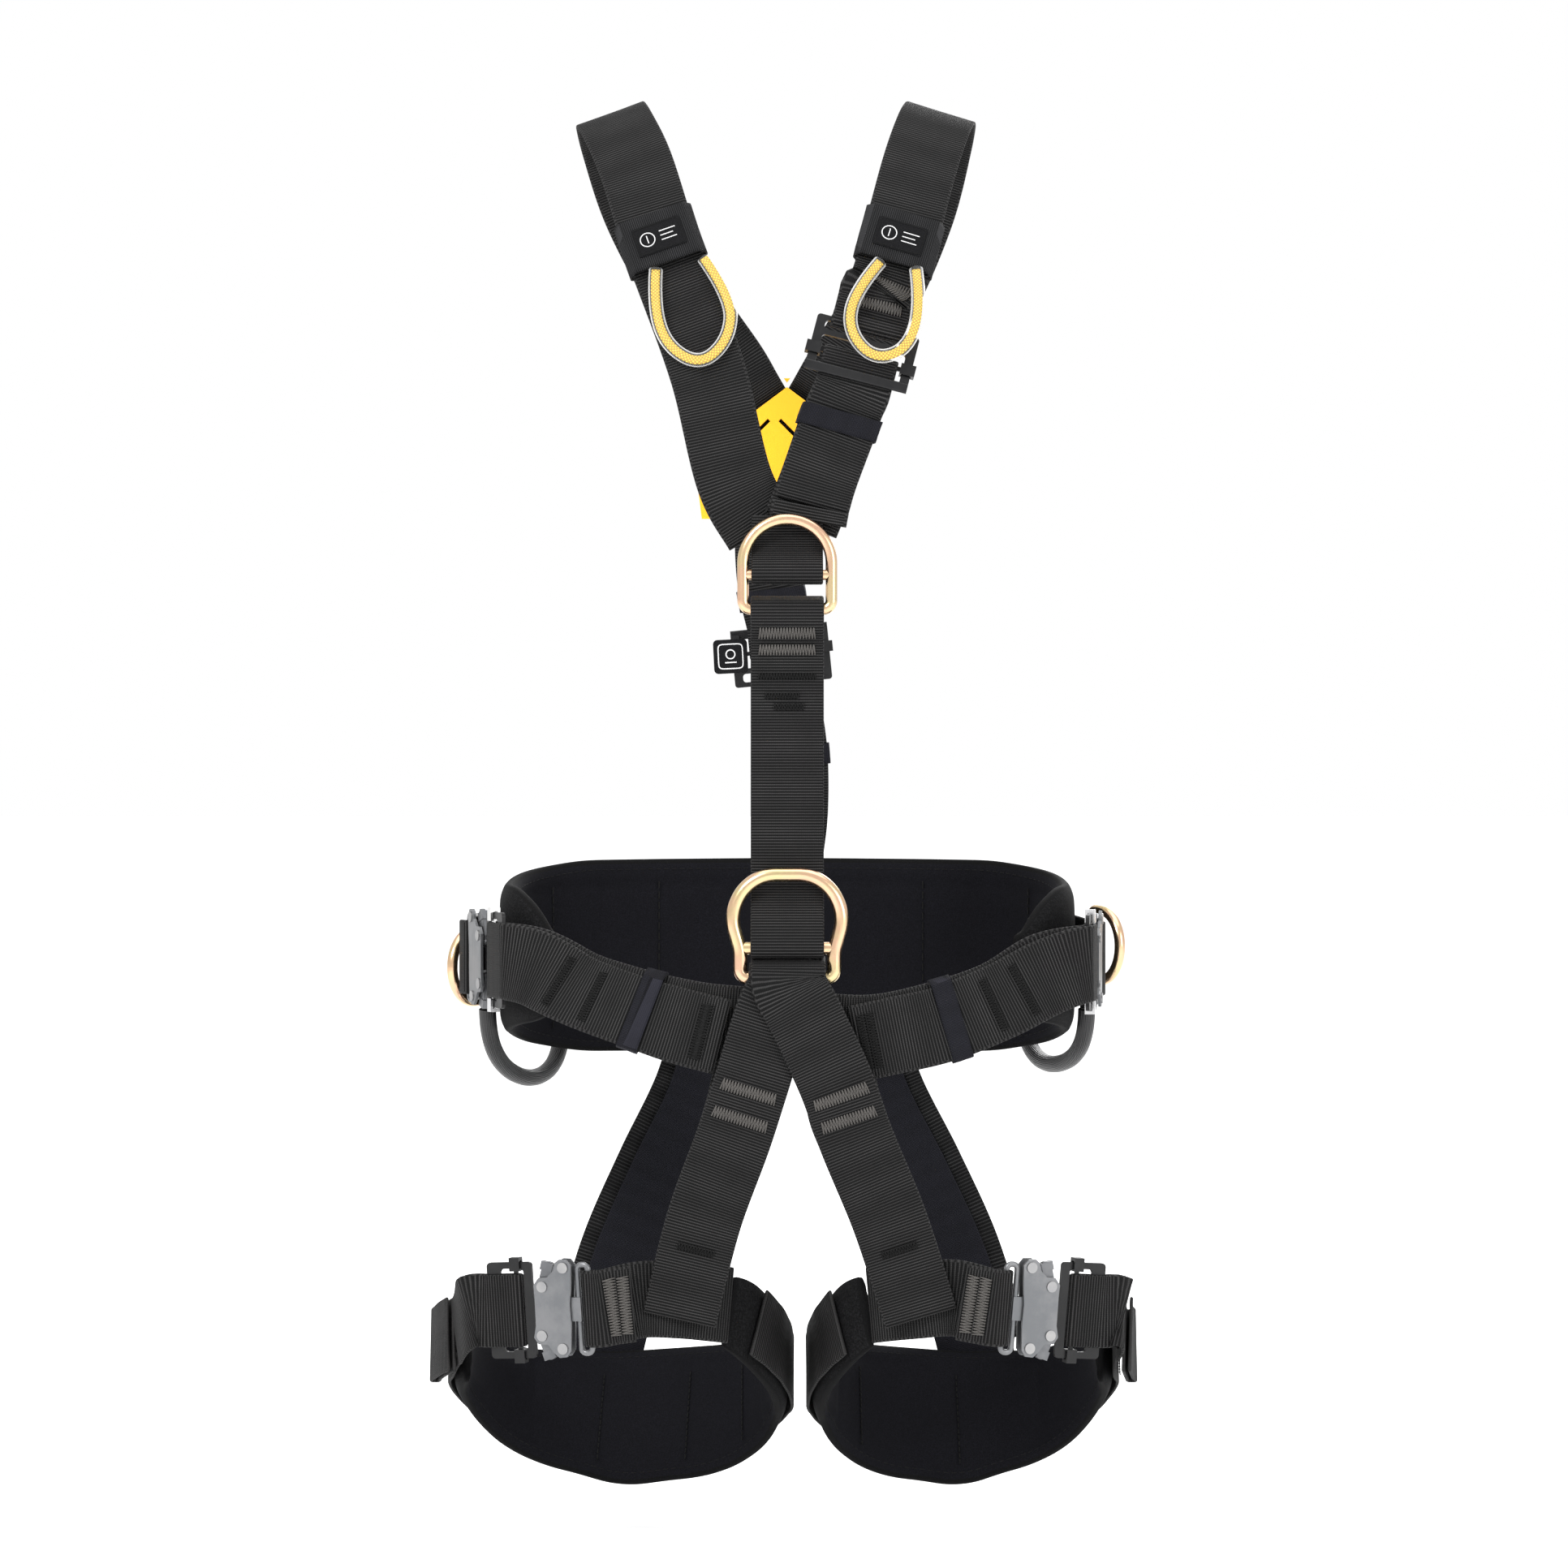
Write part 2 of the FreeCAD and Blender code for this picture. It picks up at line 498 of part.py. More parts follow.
def spine_strap():
    """Strap from the dorsal ring's bar to the adjuster on the spine, and on down to the belt."""
    y, z = DORSAL_HINGE
    radius = DORSAL_WIRE_R + 0.5 + WEB_T / 2
    fold = [(0, y + radius, z - 19), (0, y + radius, z - 8)] + bend(y, z, radius, 0, 180)
    fold += [(0, y - radius, z - 9)]
    fold = [(p, (1, 0, 0)) for p in fold]
    piece, lean = ADJUSTERS["spine"], (1, 0, 0.1)
    upper = [((-5, 99.6, 303), (1, 0, 0.08)), ((-12, 96.8, 285), lean), ((-12.4, 97.0, 245), lean),
             ((-9.2, 98.4, 225), lean)]
    upper = fold + smooth(upper) + wrap(piece, -4.0, FOLD_R, -1, 16, 16, 1)
    upper += [((-8.6, 104.8, 225), lean), ((-11, 102.6, 240), lean), ((-12.4, 101.8, 257), lean)]
    lower = [((3, 100.6, 150), lean), ((6, 101.6, 126), (1, 0, 0.08)), ((6, 110, 88), (1, 0, 0)),
             ((3, 118.2, 62), (1, 0, 0)), ((0, 122.6, 34), (1, 0, 0)), ((0, 122.8, -14), (1, 0, 0))]
    lower = [((2.6, 105.4, 138), lean)] + wrap(piece, RAIL_U, RAIL_FOLD_R, 1, 20, 10, -1) + smooth(lower)
    save("spine_strap", ribbon(upper, width=DORSAL_W, steps=1), ribbon(lower, width=DORSAL_W, steps=1))


# ---------------------------------------------------------------- adjusters and rings on joints
def adjuster_frame():
    """Adjuster frame in local axes, u along the strap and v over its width.

    The lower rail is cranked out to -w, so both layers of the strap pass behind it.
    """
    frame = box(-16.5, 17, -31, 31, -1.3, 1.3)
    frame = frame.cut(box(-20, 5.2, -25.5, 25.5, -5, 5)).cut(box(8.6, 14.0, -25.5, 25.5, -5, 5))
    edges = [e for e in frame.Edges if abs(e.Vertexes[0].Z - e.Vertexes[-1].Z) > 2]
    frame = frame.makeFillet(2.0, edges)
    rail = box(-19.5, -13.5, -31, 31, -7.8, -5.2)
    long_edges = [e for e in rail.Edges if abs(e.Vertexes[0].Y - e.Vertexes[-1].Y) > 9]
    parts = [rail.makeFillet(1.1, long_edges)]
    for low in (-31, 25.5):
        parts.append(box(-16.5, -11, low, low + 5.5, -7.0, 1.3))
    return frame.fuse(parts).removeSplitter()


def sliding_bar():
    """Bar across the frame's window with a hook round each rail."""
    bar = box(-1.3, 1.3, -25, 25, -0.8, 0.8)
    for sign in (-1, 1):
        low, high = sorted((sign * 24.2, sign * 33.2))
        hook = box(-3.4, 3.4, low, high, -3.2, 3.2)
        low, high = sorted((sign * 25.1, sign * 31.4))
        hook = hook.cut(box(-9, 9, low, high, -1.7, 1.7))
        bar = bar.fuse(hook)
    return bar.removeSplitter()


def adjusters():
    for name, (place, along, over) in ADJUSTERS.items():
        frame = adjuster_frame()
        bar = sliding_bar()
        bar.translate(V(-4, 0, 0))
        save("%s_adjuster_frame" % name, placed(frame, place, along, over))
        save("%s_adjuster_bar" % name, placed(bar, place, along, over))


def d_ring(half, leg, radius):
    """D ring in local (u, v): straight bar along v at u = 0, arch towards +u."""
    corners = [(0, -half), (0, half), (leg + half, half), (leg + half, -half)]
    wire = round_path([V(u, v, 0) for u, v in corners], [5.5, 5.5, half - 0.2, half - 0.2], True)
    return rod_along(wire, radius)


SIDE_RINGS = {
    "left": ((-187.6, 16, -3), (-0.55, -0.83, 0)),
    "right": ((187.6, 14, 10), (0.5, -0.86, 0))}


def side_rings():
    loops = []
    for side, (place, out) in SIDE_RINGS.items():
        save("side_ring_%s" % side, placed(d_ring(21.6, 9, 3.25), place, out, (0, 0, 1)))
        sign = -1 if side == "left" else 1
        x, y, z = place
        shell = Part.makeCylinder(5.7, 30, V(x, y, z - 15)).cut(Part.makeCylinder(3.75, 60, V(x, y, z - 30)))
        foot = Part.makeBox(3.0, 22, 30, V(min(x + 3.0 * -sign, x + 6.0 * -sign), y - 6, z - 15))
        tab = shell.fuse(foot.cut(Part.makeCylinder(3.75, 60, V(x, y, z - 30))))
        loops.append(tab.removeSplitter())
    save("side_ring_loops", *loops)


def dorsal_ring():
    y, z = DORSAL_HINGE
    save("dorsal_ring", placed(d_ring(25.5, 10, DORSAL_WIRE_R), (0, y, z), (0, 0.12, -1), (1, 0, 0)))


# ---------------------------------------------------------------- quick buckles
RIVETS = [(7.7, 24.8), (-6.1, 13.9), (-7.8, -15.0), (4.9, -22.9)]
BUCKLE_OUTLINE = [(5.4, 29.7), (10.2, 29.4), (12.9, 26), (12.3, 17), (10.8, 3), (11.0, -9), (10.0, -24),
                  (7.4, -27.8), (2.4, -28.2), (-0.8, -25.2), (-4.4, -20.2), (-10.4, -20.0), (-13.0, -16),
                  (-11.4, -9), (-11.2, 9), (-11.5, 15), (-8.2, 19.2), (-2.6, 19.4), (2.0, 23.6), (2.8, 27.8)]
PLATE_LOW, PLATE_HIGH = 2.5, 4.1


def buckle_body():
    """Two plates held apart by the rivets, and the wire link for the webbing."""
    solids = []
    for low, high in ((PLATE_LOW, PLATE_HIGH), (-PLATE_HIGH, -PLATE_LOW)):
        plate = slab(BUCKLE_OUTLINE, low, high)
        upright = [e for e in plate.Edges if abs(e.Vertexes[0].Z - e.Vertexes[-1].Z) > 1]
        plate = plate.makeFillet(1.1, upright)
        for u, v in RIVETS:
            plate = plate.cut(Part.makeCylinder(2.25, 20, V(u, v, -10)))
        solids.append(plate)
    corners = [V(15.2, -26, 0), V(15.2, 26, 0), V(22, 26, 0), V(22, -26, 0)]
    solids.append(rod_along(round_path(corners, [3, 3, 3, 3], True), 1.7))
    bridge = box(3.0, 17.0, -7, 7, -2.2, 2.2).cut(box(13.3, 17.2, -15, 15, -1.9, 1.9))
    solids.append(bridge)
    return solids


def rivet(u, v):
    shank = Part.makeCylinder(2.2, 2 * PLATE_HIGH, V(u, v, -PLATE_HIGH))
    heads = [Part.makeCylinder(3.2, 0.8, V(u, v, PLATE_HIGH)),
             Part.makeCylinder(3.2, 0.8, V(u, v, -PLATE_HIGH - 0.8))]
    return shank.fuse(heads).removeSplitter()


def lever(sign):
    """Release lever on a left hand rivet; its thumb pad stands out past the plates."""
    u, v = RIVETS[1] if sign > 0 else RIVETS[2]
    low, high = -1.5, 1.5
    arm = pill(u, v, u + 3.4, v + sign * 10.6, 3.9, low, high)
    nose = pill(u, v, u - 0.6, v - sign * 4.0, 2.6, low, high)
    pad = box(-4.6, 3.0, -2.6, 2.6, -1.9, 1.9)
    pad.rotate(V(), V(0, 0, 1), sign * -17)
    pad.translate(V(u + 3.4, v + sign * 11.4, 0))
    blade = arm.fuse([nose, pad]).cut(Part.makeCylinder(2.6, 20, V(u, v, -10)))
    return blade.removeSplitter()


def tongue():
    """Flat tongue that plugs into the buckle, with the adjuster window for the strap."""
    base = box(-42, -13.2, -28.5, 28.5, -1.1, 1.1)
    base = base.cut(box(-33.5, -18.6, -24.6, 24.6, -5, 5))
    corner = [e for e in base.Edges if abs(e.Vertexes[0].Z - e.Vertexes[-1].Z) > 2]
    base = base.makeFillet(2.5, corner)
    return base.fuse(box(-14.0, 1.6, -6.8, 6.8, -1.1, 1.1)).removeSplitter()


def tongue_bar():
    bar = box(-1.3, 1.3, -23.8, 23.8, -0.8, 0.8)
    for sign in (-1, 1):
        low, high = sorted((sign * 23.2, sign * 31.2))
        hook = box(-3.2, 3.2, low, high, -3.0, 3.0)
        low, high = sorted((sign * 24.2, sign * 29.3))
        hook = hook.cut(box(-9, 9, low, high, -1.5, 1.5))
        bar = bar.fuse(hook)
    bar = bar.removeSplitter()
    bar.translate(V(BAR_U, 0, 0))
    return bar


def buckles():
    rivets = []
    for name, (place, along, over) in BUCKLES.items():
        save("%s_buckle" % name, *[placed(s, place, along, over) for s in buckle_body()])
        save("%s_tongue" % name, placed(tongue(), place, along, over))
        save("%s_bar" % name, placed(tongue_bar(), place, along, over))
        for word, sign in (("upper", 1), ("lower", -1)):
            save("%s_lever_%s" % (name, word), placed(lever(sign), place, along, over))
        rivets += [placed(rivet(u, v), place, along, over) for u, v in RIVETS]
    save("buckle_rivets", *rivets)


# ---------------------------------------------------------------- leg loops
LEG_TOP_Y = -15.0       # middle of a leg loop in depth


def leg_point(side, degrees, offset=0.0):
    """Point of a leg loop's middle line; degrees from the back, positive to the outer side."""
    sign, centre_x, half_w = LEG_SIDES[side]
    height = [(-180, -197), (-150, -200), (-133, -206), (-110, -230), (-90, -250), (-75, -257), (-60, -270),
              (-45, -278), (-30, -284), (0, -290), (30, -282), (45, -274), (60, -260), (75, -246),
              (90, -236), (110, -226), (138, -212), (160, -202), (180, -197)]
    a = math.radians(degrees)
    return V(centre_x + sign * (half_w + offset) * math.sin(a),
             LEG_TOP_Y + (LEG_B + offset) * math.cos(a), between(degrees, height))


def leg_frame(side, degrees):
    """Outward and upward directions of the pad at a place of the loop."""
    sign, centre_x, half_w = LEG_SIDES[side]
    a = math.radians(degrees)
    tilt = 0.44 * (1 + math.cos(a)) / 2 + 0.1
    along = leg_point(side, degrees + 2) - leg_point(side, degrees - 2)
    up = V(0, tilt, 0.95)
    out = along.cross(up).normalize()
    if out.dot(V(sign * math.sin(a), math.cos(a), 0)) < 0:
        out = out * -1
    up = along.cross(out).normalize()
    if up.z < 0:
        up = up * -1
    return out, up


def leg_pads():
    half = [(-138, 21), (-133, 23), (-110, 25), (-90, 25), (-75, 29), (-60, 34), (-45, 40), (-30, 43), (0, 45),
            (30, 38), (45, 34), (60, 31), (75, 28), (90, 27), (108, 24)]
    for side in LEG_SIDES:
        rings = []
        steps = 32
        for k in range(steps + 1):
            degrees = -138 + 246 * k / steps
            out, up = leg_frame(side, degrees)
            reach = between(degrees, half)
            rings.append(padded_ring(leg_point(side, degrees), out, up, -reach, reach, LEG_PAD_T))
        save("leg_pad_%s" % side, facet_solid(rings))


def leg_webbing():
    """Webbing sewn on the outside of each leg pad, folded round the adjuster bar in front."""
    solids = []
    for side, spread, back_out in (("left", 2.0, 17.5), ("right", 0.0, 20.5)):
        route = []
        for degrees in range(-126, 105, 10):
            out, up = leg_frame(side, degrees)
            centre = leg_point(side, degrees) + out * (LEG_PAD_T / 2 + 1.4 + WEB_T / 2)
            route.append((tuple(centre), tuple(up)))
        outer = 1 if side == "left" else -1
        fold = wrap(BUCKLES["leg_" + side], BAR_U, FOLD_R, -1, 30, 30, -outer, 0.6)
        last, first = V(*route[-1][0]), V(*fold[0][0])
        route.append((tuple((last + first) * 0.5 + out * spread), tuple(up + V(0, 0, 1))))
        out, up = leg_frame(side, 121)
        back = leg_point(side, 121.5) + out * back_out
        route += fold + [(tuple(back), tuple(up))]
        solids.append(ribbon(route, width=43, steps=1))
    save("leg_pad_webbing", *solids)


def leg_tails():
    """Loose end of each leg strap, folded into a flat roll in its keeper."""
    for side in LEG_SIDES:
        route = []
        far = 0.0 if side == "left" else 1.0
        for degrees, lift in ((117, 9.2 + 6.0 * far), (110, 9.0 + 2.0 * far), (103, 9.0), (97, 9.4)):
            out, up = leg_frame(side, degrees)
            centre = leg_point(side, degrees) + out * (LEG_PAD_T / 2 + WEB_T + lift)
            route.append((tuple(centre), tuple(up)))
        save("leg_tail_%s" % side, ribbon(route, thick=6.0, steps=1))


def leg_front_tabs():
    """Sewn tab between each buckle's link and the bottom of the leg riser, its end folded forward."""
    free = {"left": [(-90.8, -111.9, -196.4), (-100.5, -114.3, -197.4)],
            "right": [(102.4, -112.0, -195.4), (112.1, -114.2, -197.0)]}
    inner = {"left": [(-86, -105.2, -194.6), (-62, -101.4, -195.5), (-44, -95, -198), (-34, -88, -200)],
             "right": [(98, -105.6, -193.6), (76, -101.8, -195.5), (58, -95, -198), (49, -88, -200)]}
    solids = []
    for side, front in (("left", 1), ("right", -1)):
        fold = wrap(BUCKLES["leg_" + side], LINK_U, FOLD_R, 1, 7, 7, front)
        route = [(point, fold[0][1]) for point in free[side]] + fold
        route += [(point, (0, 0.1, 1)) for point in inner[side]]
        solids.append(ribbon(route, steps=1))
    save("leg_front_tabs", *solids)


def rear_risers():
    """Elastic band and gathered webbing from the back of the belt to the back of each leg loop."""
    for side, sign, flare in (("left", -1, 1.0), ("right", 1, 1.04)):
        band = [((sign * 40 * flare, 119.5, -48), (sign, 0, 0.55)), ((sign * 52 * flare, 112, -90), (sign, 0, 0.6)),
                ((sign * 76 * flare, 104, -140), (sign, 0, 0.6)),
                ((sign * 98 * flare, 99, -190), (sign, 0, 0.5)),
                ((sign * 112 * flare, 100.5, -236), (sign, 0, 0.2)),
                ((sign * 116 * flare, 99.6, -254), (sign, 0, 0.1)),
                ((sign * 117 * flare, 93.6, -265), (sign, 0, 0.1))]
        web = [((x + sign * 17, y + 4.5, z + 9), a) for (x, y, z), a in band[:-1]]
        save("rear_riser_%s" % side, ribbon(band, width=48, thick=1.8, steps=2),
             ribbon(web, width=30, thick=1.8, steps=2))


# ---------------------------------------------------------------- hanging loops
def gear_loops():
    left = [(-182.4, -18, -28), (-182.4, -15, -45), (-175, 12, -66), (-160, 45, -76), (-147, 74, -70),
            (-142, 92, -50), (-141, 97, -26)]
    right = [(182.4, -18, -28), (182.4, -15, -43), (177, 12, -60), (165, 45, -67), (155, 72, -62),
             (150, 90, -46), (149, 94, -26)]
    tabs = []
    for name, points in (("left", left), ("right", right)):
        save("gear_loop_%s" % name, cord_tube("gear_loop_" + name, points, TUBE_R))
        for x, y, z in (points[0], points[-1]):
            tabs.append(Part.makeBox(8, 12, 7.5, V(x - 4, y - 6, z)))
    save("gear_loop_tabs", *tabs)


def parking_loops():
    left = [(-74.5, -89.5, 407), (-76, -95, 389), (-68, -100.5, 371), (-50, -103.5, 364), (-36, -102, 377),
            (-33, -96, 396), (-42, -88.5, 416)]
    right = [(52, -92.5, 411), (41, -100.5, 396), (40, -106, 380), (52, -109.5, 367), (68, -108.5, 372),
             (77, -100.5, 390), (73.5, -91, 408)]
    for name, points in (("left", left), ("right", right)):
        save("parking_loop_%s" % name, cord_tube("parking_loop_" + name, points, PARK_R))


def build():
    for step in (belt_pad, belt_webbing, waist_front, elastic_keepers, sternal_ring, ventral_ring,
                 chest_strap, sternal_loop, label, leg_risers, shoulder_straps, lower_right_strap,
                 parking_sleeves, dorsal_plate, spine_strap, adjusters, side_rings, dorsal_ring,
                 buckles, leg_pads, leg_webbing, leg_tails, leg_front_tabs, rear_risers,
                 gear_loops, parking_loops):
        step()


build()
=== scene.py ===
"""Full body tree climbing harness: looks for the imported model. Lengths are in mm until MM scales them."""
import math
import bpy
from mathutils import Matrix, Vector


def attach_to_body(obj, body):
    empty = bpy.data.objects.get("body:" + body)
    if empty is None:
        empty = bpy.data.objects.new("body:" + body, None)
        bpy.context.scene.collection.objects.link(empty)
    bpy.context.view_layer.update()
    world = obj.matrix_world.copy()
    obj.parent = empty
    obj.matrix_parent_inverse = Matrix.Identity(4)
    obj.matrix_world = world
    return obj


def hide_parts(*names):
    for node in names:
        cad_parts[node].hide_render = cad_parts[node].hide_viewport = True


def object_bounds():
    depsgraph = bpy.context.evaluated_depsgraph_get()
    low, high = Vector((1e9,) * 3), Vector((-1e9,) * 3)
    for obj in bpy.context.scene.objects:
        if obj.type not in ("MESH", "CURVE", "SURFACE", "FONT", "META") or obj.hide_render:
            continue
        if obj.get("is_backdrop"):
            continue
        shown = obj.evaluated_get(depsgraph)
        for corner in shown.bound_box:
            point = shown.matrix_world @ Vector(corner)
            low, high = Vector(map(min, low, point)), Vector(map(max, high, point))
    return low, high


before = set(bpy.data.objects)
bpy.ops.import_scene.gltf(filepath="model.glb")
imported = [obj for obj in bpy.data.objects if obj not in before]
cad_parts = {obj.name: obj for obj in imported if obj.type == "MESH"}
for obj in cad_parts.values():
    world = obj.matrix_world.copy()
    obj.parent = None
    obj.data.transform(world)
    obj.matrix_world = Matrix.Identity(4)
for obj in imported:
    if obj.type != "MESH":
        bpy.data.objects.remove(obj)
CAD_LOW, CAD_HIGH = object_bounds()
MM = 0.001
TAU = 2 * math.pi
WEB_W, WEB_T = 45.0, 2.2


def V(*c):
    return Vector(c)


# ------------------------------------------------------------------ materials
class Mat:
    """Small helper round one node material with a Principled shader."""

    def __init__(self, name, base, rough, metal=0.0):
        self.m = bpy.data.materials.new(name)
        self.m.use_nodes = True
        self.t = self.m.node_tree
        self.b = self.t.nodes["Principled BSDF"]
        self.b.inputs["Base Color"].default_value = (*base, 1)
        self.b.inputs["Roughness"].default_value = rough
        self.b.inputs["Metallic"].default_value = metal

    def put(self, socket, value):
        if isinstance(value, bpy.types.NodeSocket):
            self.t.links.new(value, socket)
        elif isinstance(value, (tuple, list)):
            opaque = len(value) == 3 and len(socket.default_value) == 4
            socket.default_value = (*value, 1) if opaque else value
        else:
            socket.default_value = value

    def math(self, op, *values, clamp=False):
        n = self.t.nodes.new("ShaderNodeMath")
        n.operation, n.use_clamp = op, clamp
        for s, v in zip(n.inputs, values):
            self.put(s, v)
        return n.outputs[0]

    def step(self, value, low, high):
        n = self.t.nodes.new("ShaderNodeMapRange")
        n.interpolation_type = "SMOOTHSTEP"
        for s, v in zip(n.inputs, (value, low, high, 0.0, 1.0)):
            self.put(s, v)
        return n.outputs[0]

    def wave(self, value, period):
        turn = self.math("MULTIPLY_ADD", value, TAU / period, 0.0)
        return self.math("MULTIPLY_ADD", self.math("SINE", turn), 0.5, 0.5)

    def coords(self, kind):
        return self.t.nodes.new("ShaderNodeTexCoord").outputs[kind]

    def uv(self):
        n = self.t.nodes.new("ShaderNodeSeparateXYZ")
        self.t.links.new(self.coords("UV"), n.inputs[0])
        return n.outputs[0], n.outputs[1]

    def noise(self, scale, detail=2.0, rough=0.5, stretch=None):
        n = self.t.nodes.new("ShaderNodeTexNoise")
        n.inputs["Scale"].default_value = scale
        n.inputs["Detail"].default_value = detail
        n.inputs["Roughness"].default_value = rough
        vec = self.coords("Object")
        if stretch:
            mp = self.t.nodes.new("ShaderNodeMapping")
            mp.inputs["Scale"].default_value = stretch
            self.t.links.new(vec, mp.inputs[0])
            vec = mp.outputs[0]
        self.t.links.new(vec, n.inputs["Vector"])
        return n.outputs["Fac"]

    def mix(self, fac, a, b):
        n = self.t.nodes.new("ShaderNodeMix")
        n.data_type = "RGBA"
        self.put(n.inputs[0], fac)
        self.put(n.inputs[6], a)
        self.put(n.inputs[7], b)
        return n.outputs[2]

    def color(self, value):
        self.put(self.b.inputs["Base Color"], value)

    def rough(self, value):
        self.put(self.b.inputs["Roughness"], value)

    def bump(self, height, distance, strength=1.0):
        n = self.t.nodes.new("ShaderNodeBump")
        n.inputs["Distance"].default_value = distance
        n.inputs["Strength"].default_value = strength
        self.t.links.new(height, n.inputs["Height"])
        self.t.links.new(n.outputs[0], self.b.inputs["Normal"])


def webbing(name, dark, light, pitch=0.0017, edge=0.0207, rough=0.72):
    """Ribbed webbing: weft ribs over the width, twisted yarn along each rib, a knitted selvedge. The lighter
    colour is a painted highlight on the rib crests, yarn twists and selvedge loops.
    """
    k = Mat(name, dark, rough)
    u, v = k.uv()
    rib = k.wave(u, pitch)
    row = k.math("FLOOR", k.math("DIVIDE", u, pitch))
    yarn = k.wave(v, 0.0011)
    tone = k.noise(9000, 1.0, 0.5)
    slow = k.noise(60, 2.0, 0.6)
    # painted highlight on the rib crests, shaped by the yarn twist, row-to-row unevenness and slow noise
    painted_crest_highlight = k.math("MULTIPLY", k.step(rib, 0.45, 1.0), k.math("MULTIPLY_ADD", yarn, 0.35, 0.65))
    uneven = k.math("MULTIPLY_ADD", k.math("SINE", k.math("MULTIPLY", row, 12.99)), 0.16, 0.84)
    painted_crest_highlight = k.math("MULTIPLY", painted_crest_highlight, uneven)
    painted_crest_highlight = k.math("MULTIPLY", painted_crest_highlight, k.math("MULTIPLY_ADD", slow, 0.7, 0.6))
    side = k.step(k.math("ABSOLUTE", v), edge, edge + 0.0007)
    chain = k.math("MULTIPLY", k.wave(u, 0.0026), k.math("MULTIPLY_ADD", tone, 0.7, 0.3))
    body = k.math("MULTIPLY", painted_crest_highlight, k.math("SUBTRACT", 1.0, side))
    look = k.math("ADD", body, k.math("MULTIPLY", chain, side))
    # painted highlight: rib crests and selvedge loops take the lighter colour where raised yarn would catch
    # the light
    k.color(k.mix(look, dark, light))
    k.rough(k.math("MULTIPLY_ADD", look, -0.12, rough))
    k.bump(k.math("ADD", k.math("MULTIPLY", rib, 0.75), k.math("MULTIPLY", yarn, 0.25)), 0.00045, 0.9)
    k.b.inputs["Specular IOR Level"].default_value = 0.16
    return k.m


def cloth(name, dark, light, grain=0.0007, rough=0.85, bump=0.0002):
    """Plain knit or woven cloth with a fine grain that needs no UVs."""
    k = Mat(name, dark, rough)
    fine = k.noise(1 / grain, 2.0, 0.6)
    wide = k.noise(25, 3.0, 0.6)
    patchy = k.math("MULTIPLY_ADD", wide, 0.9, 0.3)
    k.color(k.mix(k.math("MULTIPLY", k.step(fine, 0.35, 0.75), patchy, clamp=True), dark, light))
    k.bump(fine, bump, 0.8)
    k.b.inputs["Specular IOR Level"].default_value = 0.12
    return k.m


def steel(name, base, other, rough, metal=1.0, scale=35):
    """Metal or paint in two tones with fine scratches."""
    k = Mat(name, base, rough, metal)
    blotch = k.noise(scale, 4.0, 0.6)
    scratch = k.noise(900, 2.0, 0.6, stretch=(1, 1, 0.06))
    k.color(k.mix(k.step(blotch, 0.35, 0.68), base, other))
    k.rough(k.math("MULTIPLY_ADD", scratch, 0.16, rough - 0.06))
    k.bump(scratch, 0.00003, 0.5)
    return k.m


# Each webbing's first colour is its own dark yarn; the second is the painted highlight on its rib crests and
# selvedge loops.
WEB = webbing("webbing_black", (0.0005, 0.0005, 0.0006), (0.036, 0.035, 0.035))
WEB_DARK = webbing("webbing_matte", (0.0006, 0.0006, 0.0008), (0.021, 0.021, 0.021), rough=0.8)
GATHER = webbing("webbing_gathered", (0.0006, 0.0006, 0.0008), (0.026, 0.026, 0.026), 0.0022, 0.03)
ELASTIC = webbing("elastic_navy", (0.0035, 0.0035, 0.0055), (0.013, 0.013, 0.02), 0.0009, 0.03, 0.8)
SLEEVE = webbing("sleeve_weave", (0.004, 0.004, 0.0045), (0.03, 0.03, 0.032), 0.0012, 0.05, 0.8)
LINING = cloth("pad_lining", (0.002, 0.002, 0.0032), (0.0068, 0.0068, 0.01))
SHELL = cloth("pad_shell", (0.0012, 0.0012, 0.0014), (0.012, 0.012, 0.013), grain=0.0011, bump=0.0004)
BINDING = cloth("pad_binding", (0.001, 0.001, 0.0012), (0.006, 0.006, 0.0065), grain=0.0005)
THREAD = cloth("thread_grey", (0.05, 0.047, 0.044), (0.15, 0.142, 0.134), 0.0003, 0.7)
THREAD_BLACK = cloth("thread_black", (0.002, 0.002, 0.002), (0.02, 0.02, 0.02), 0.0003, 0.7)
THREAD_WHITE = cloth("thread_white", (0.5, 0.5, 0.5), (0.8, 0.8, 0.8), 0.0003, 0.7)
PATCH = cloth("patch_black", (0.0025, 0.0025, 0.003), (0.011, 0.011, 0.012), grain=0.0004)
RING = steel("zinc_steel", (0.70, 0.44, 0.30), (0.62, 0.50, 0.27), 0.22)
PLATE = steel("satin_grey", (0.13, 0.135, 0.142), (0.17, 0.172, 0.178), 0.36, 0.75, 60)
RIVET = steel("rivet_steel", (0.26, 0.26, 0.265), (0.34, 0.335, 0.33), 0.3)
LEVER = steel("lever_grey", (0.11, 0.113, 0.12), (0.15, 0.152, 0.158), 0.34, 0.75, 60)
BLACK = steel("black_steel", (0.004, 0.004, 0.0045), (0.008, 0.008, 0.0085), 0.34, 0.0, 50)
BLACK.node_tree.nodes["Principled BSDF"].inputs["Specular IOR Level"].default_value = 0.3
BAR = steel("bar_steel", (0.55, 0.55, 0.56), (0.68, 0.67, 0.66), 0.2)


def yellow_plastic():
    k = Mat("yellow_plastic", (0.93, 0.47, 0.006), 0.42)
    k.color(k.mix(k.noise(18, 2.0), (0.95, 0.5, 0.006), (0.86, 0.4, 0.005)))
    k.bump(k.noise(1600, 2.0), 0.00006, 0.6)
    k.b.inputs["Coat Weight"].default_value = 0.15
    return k.m


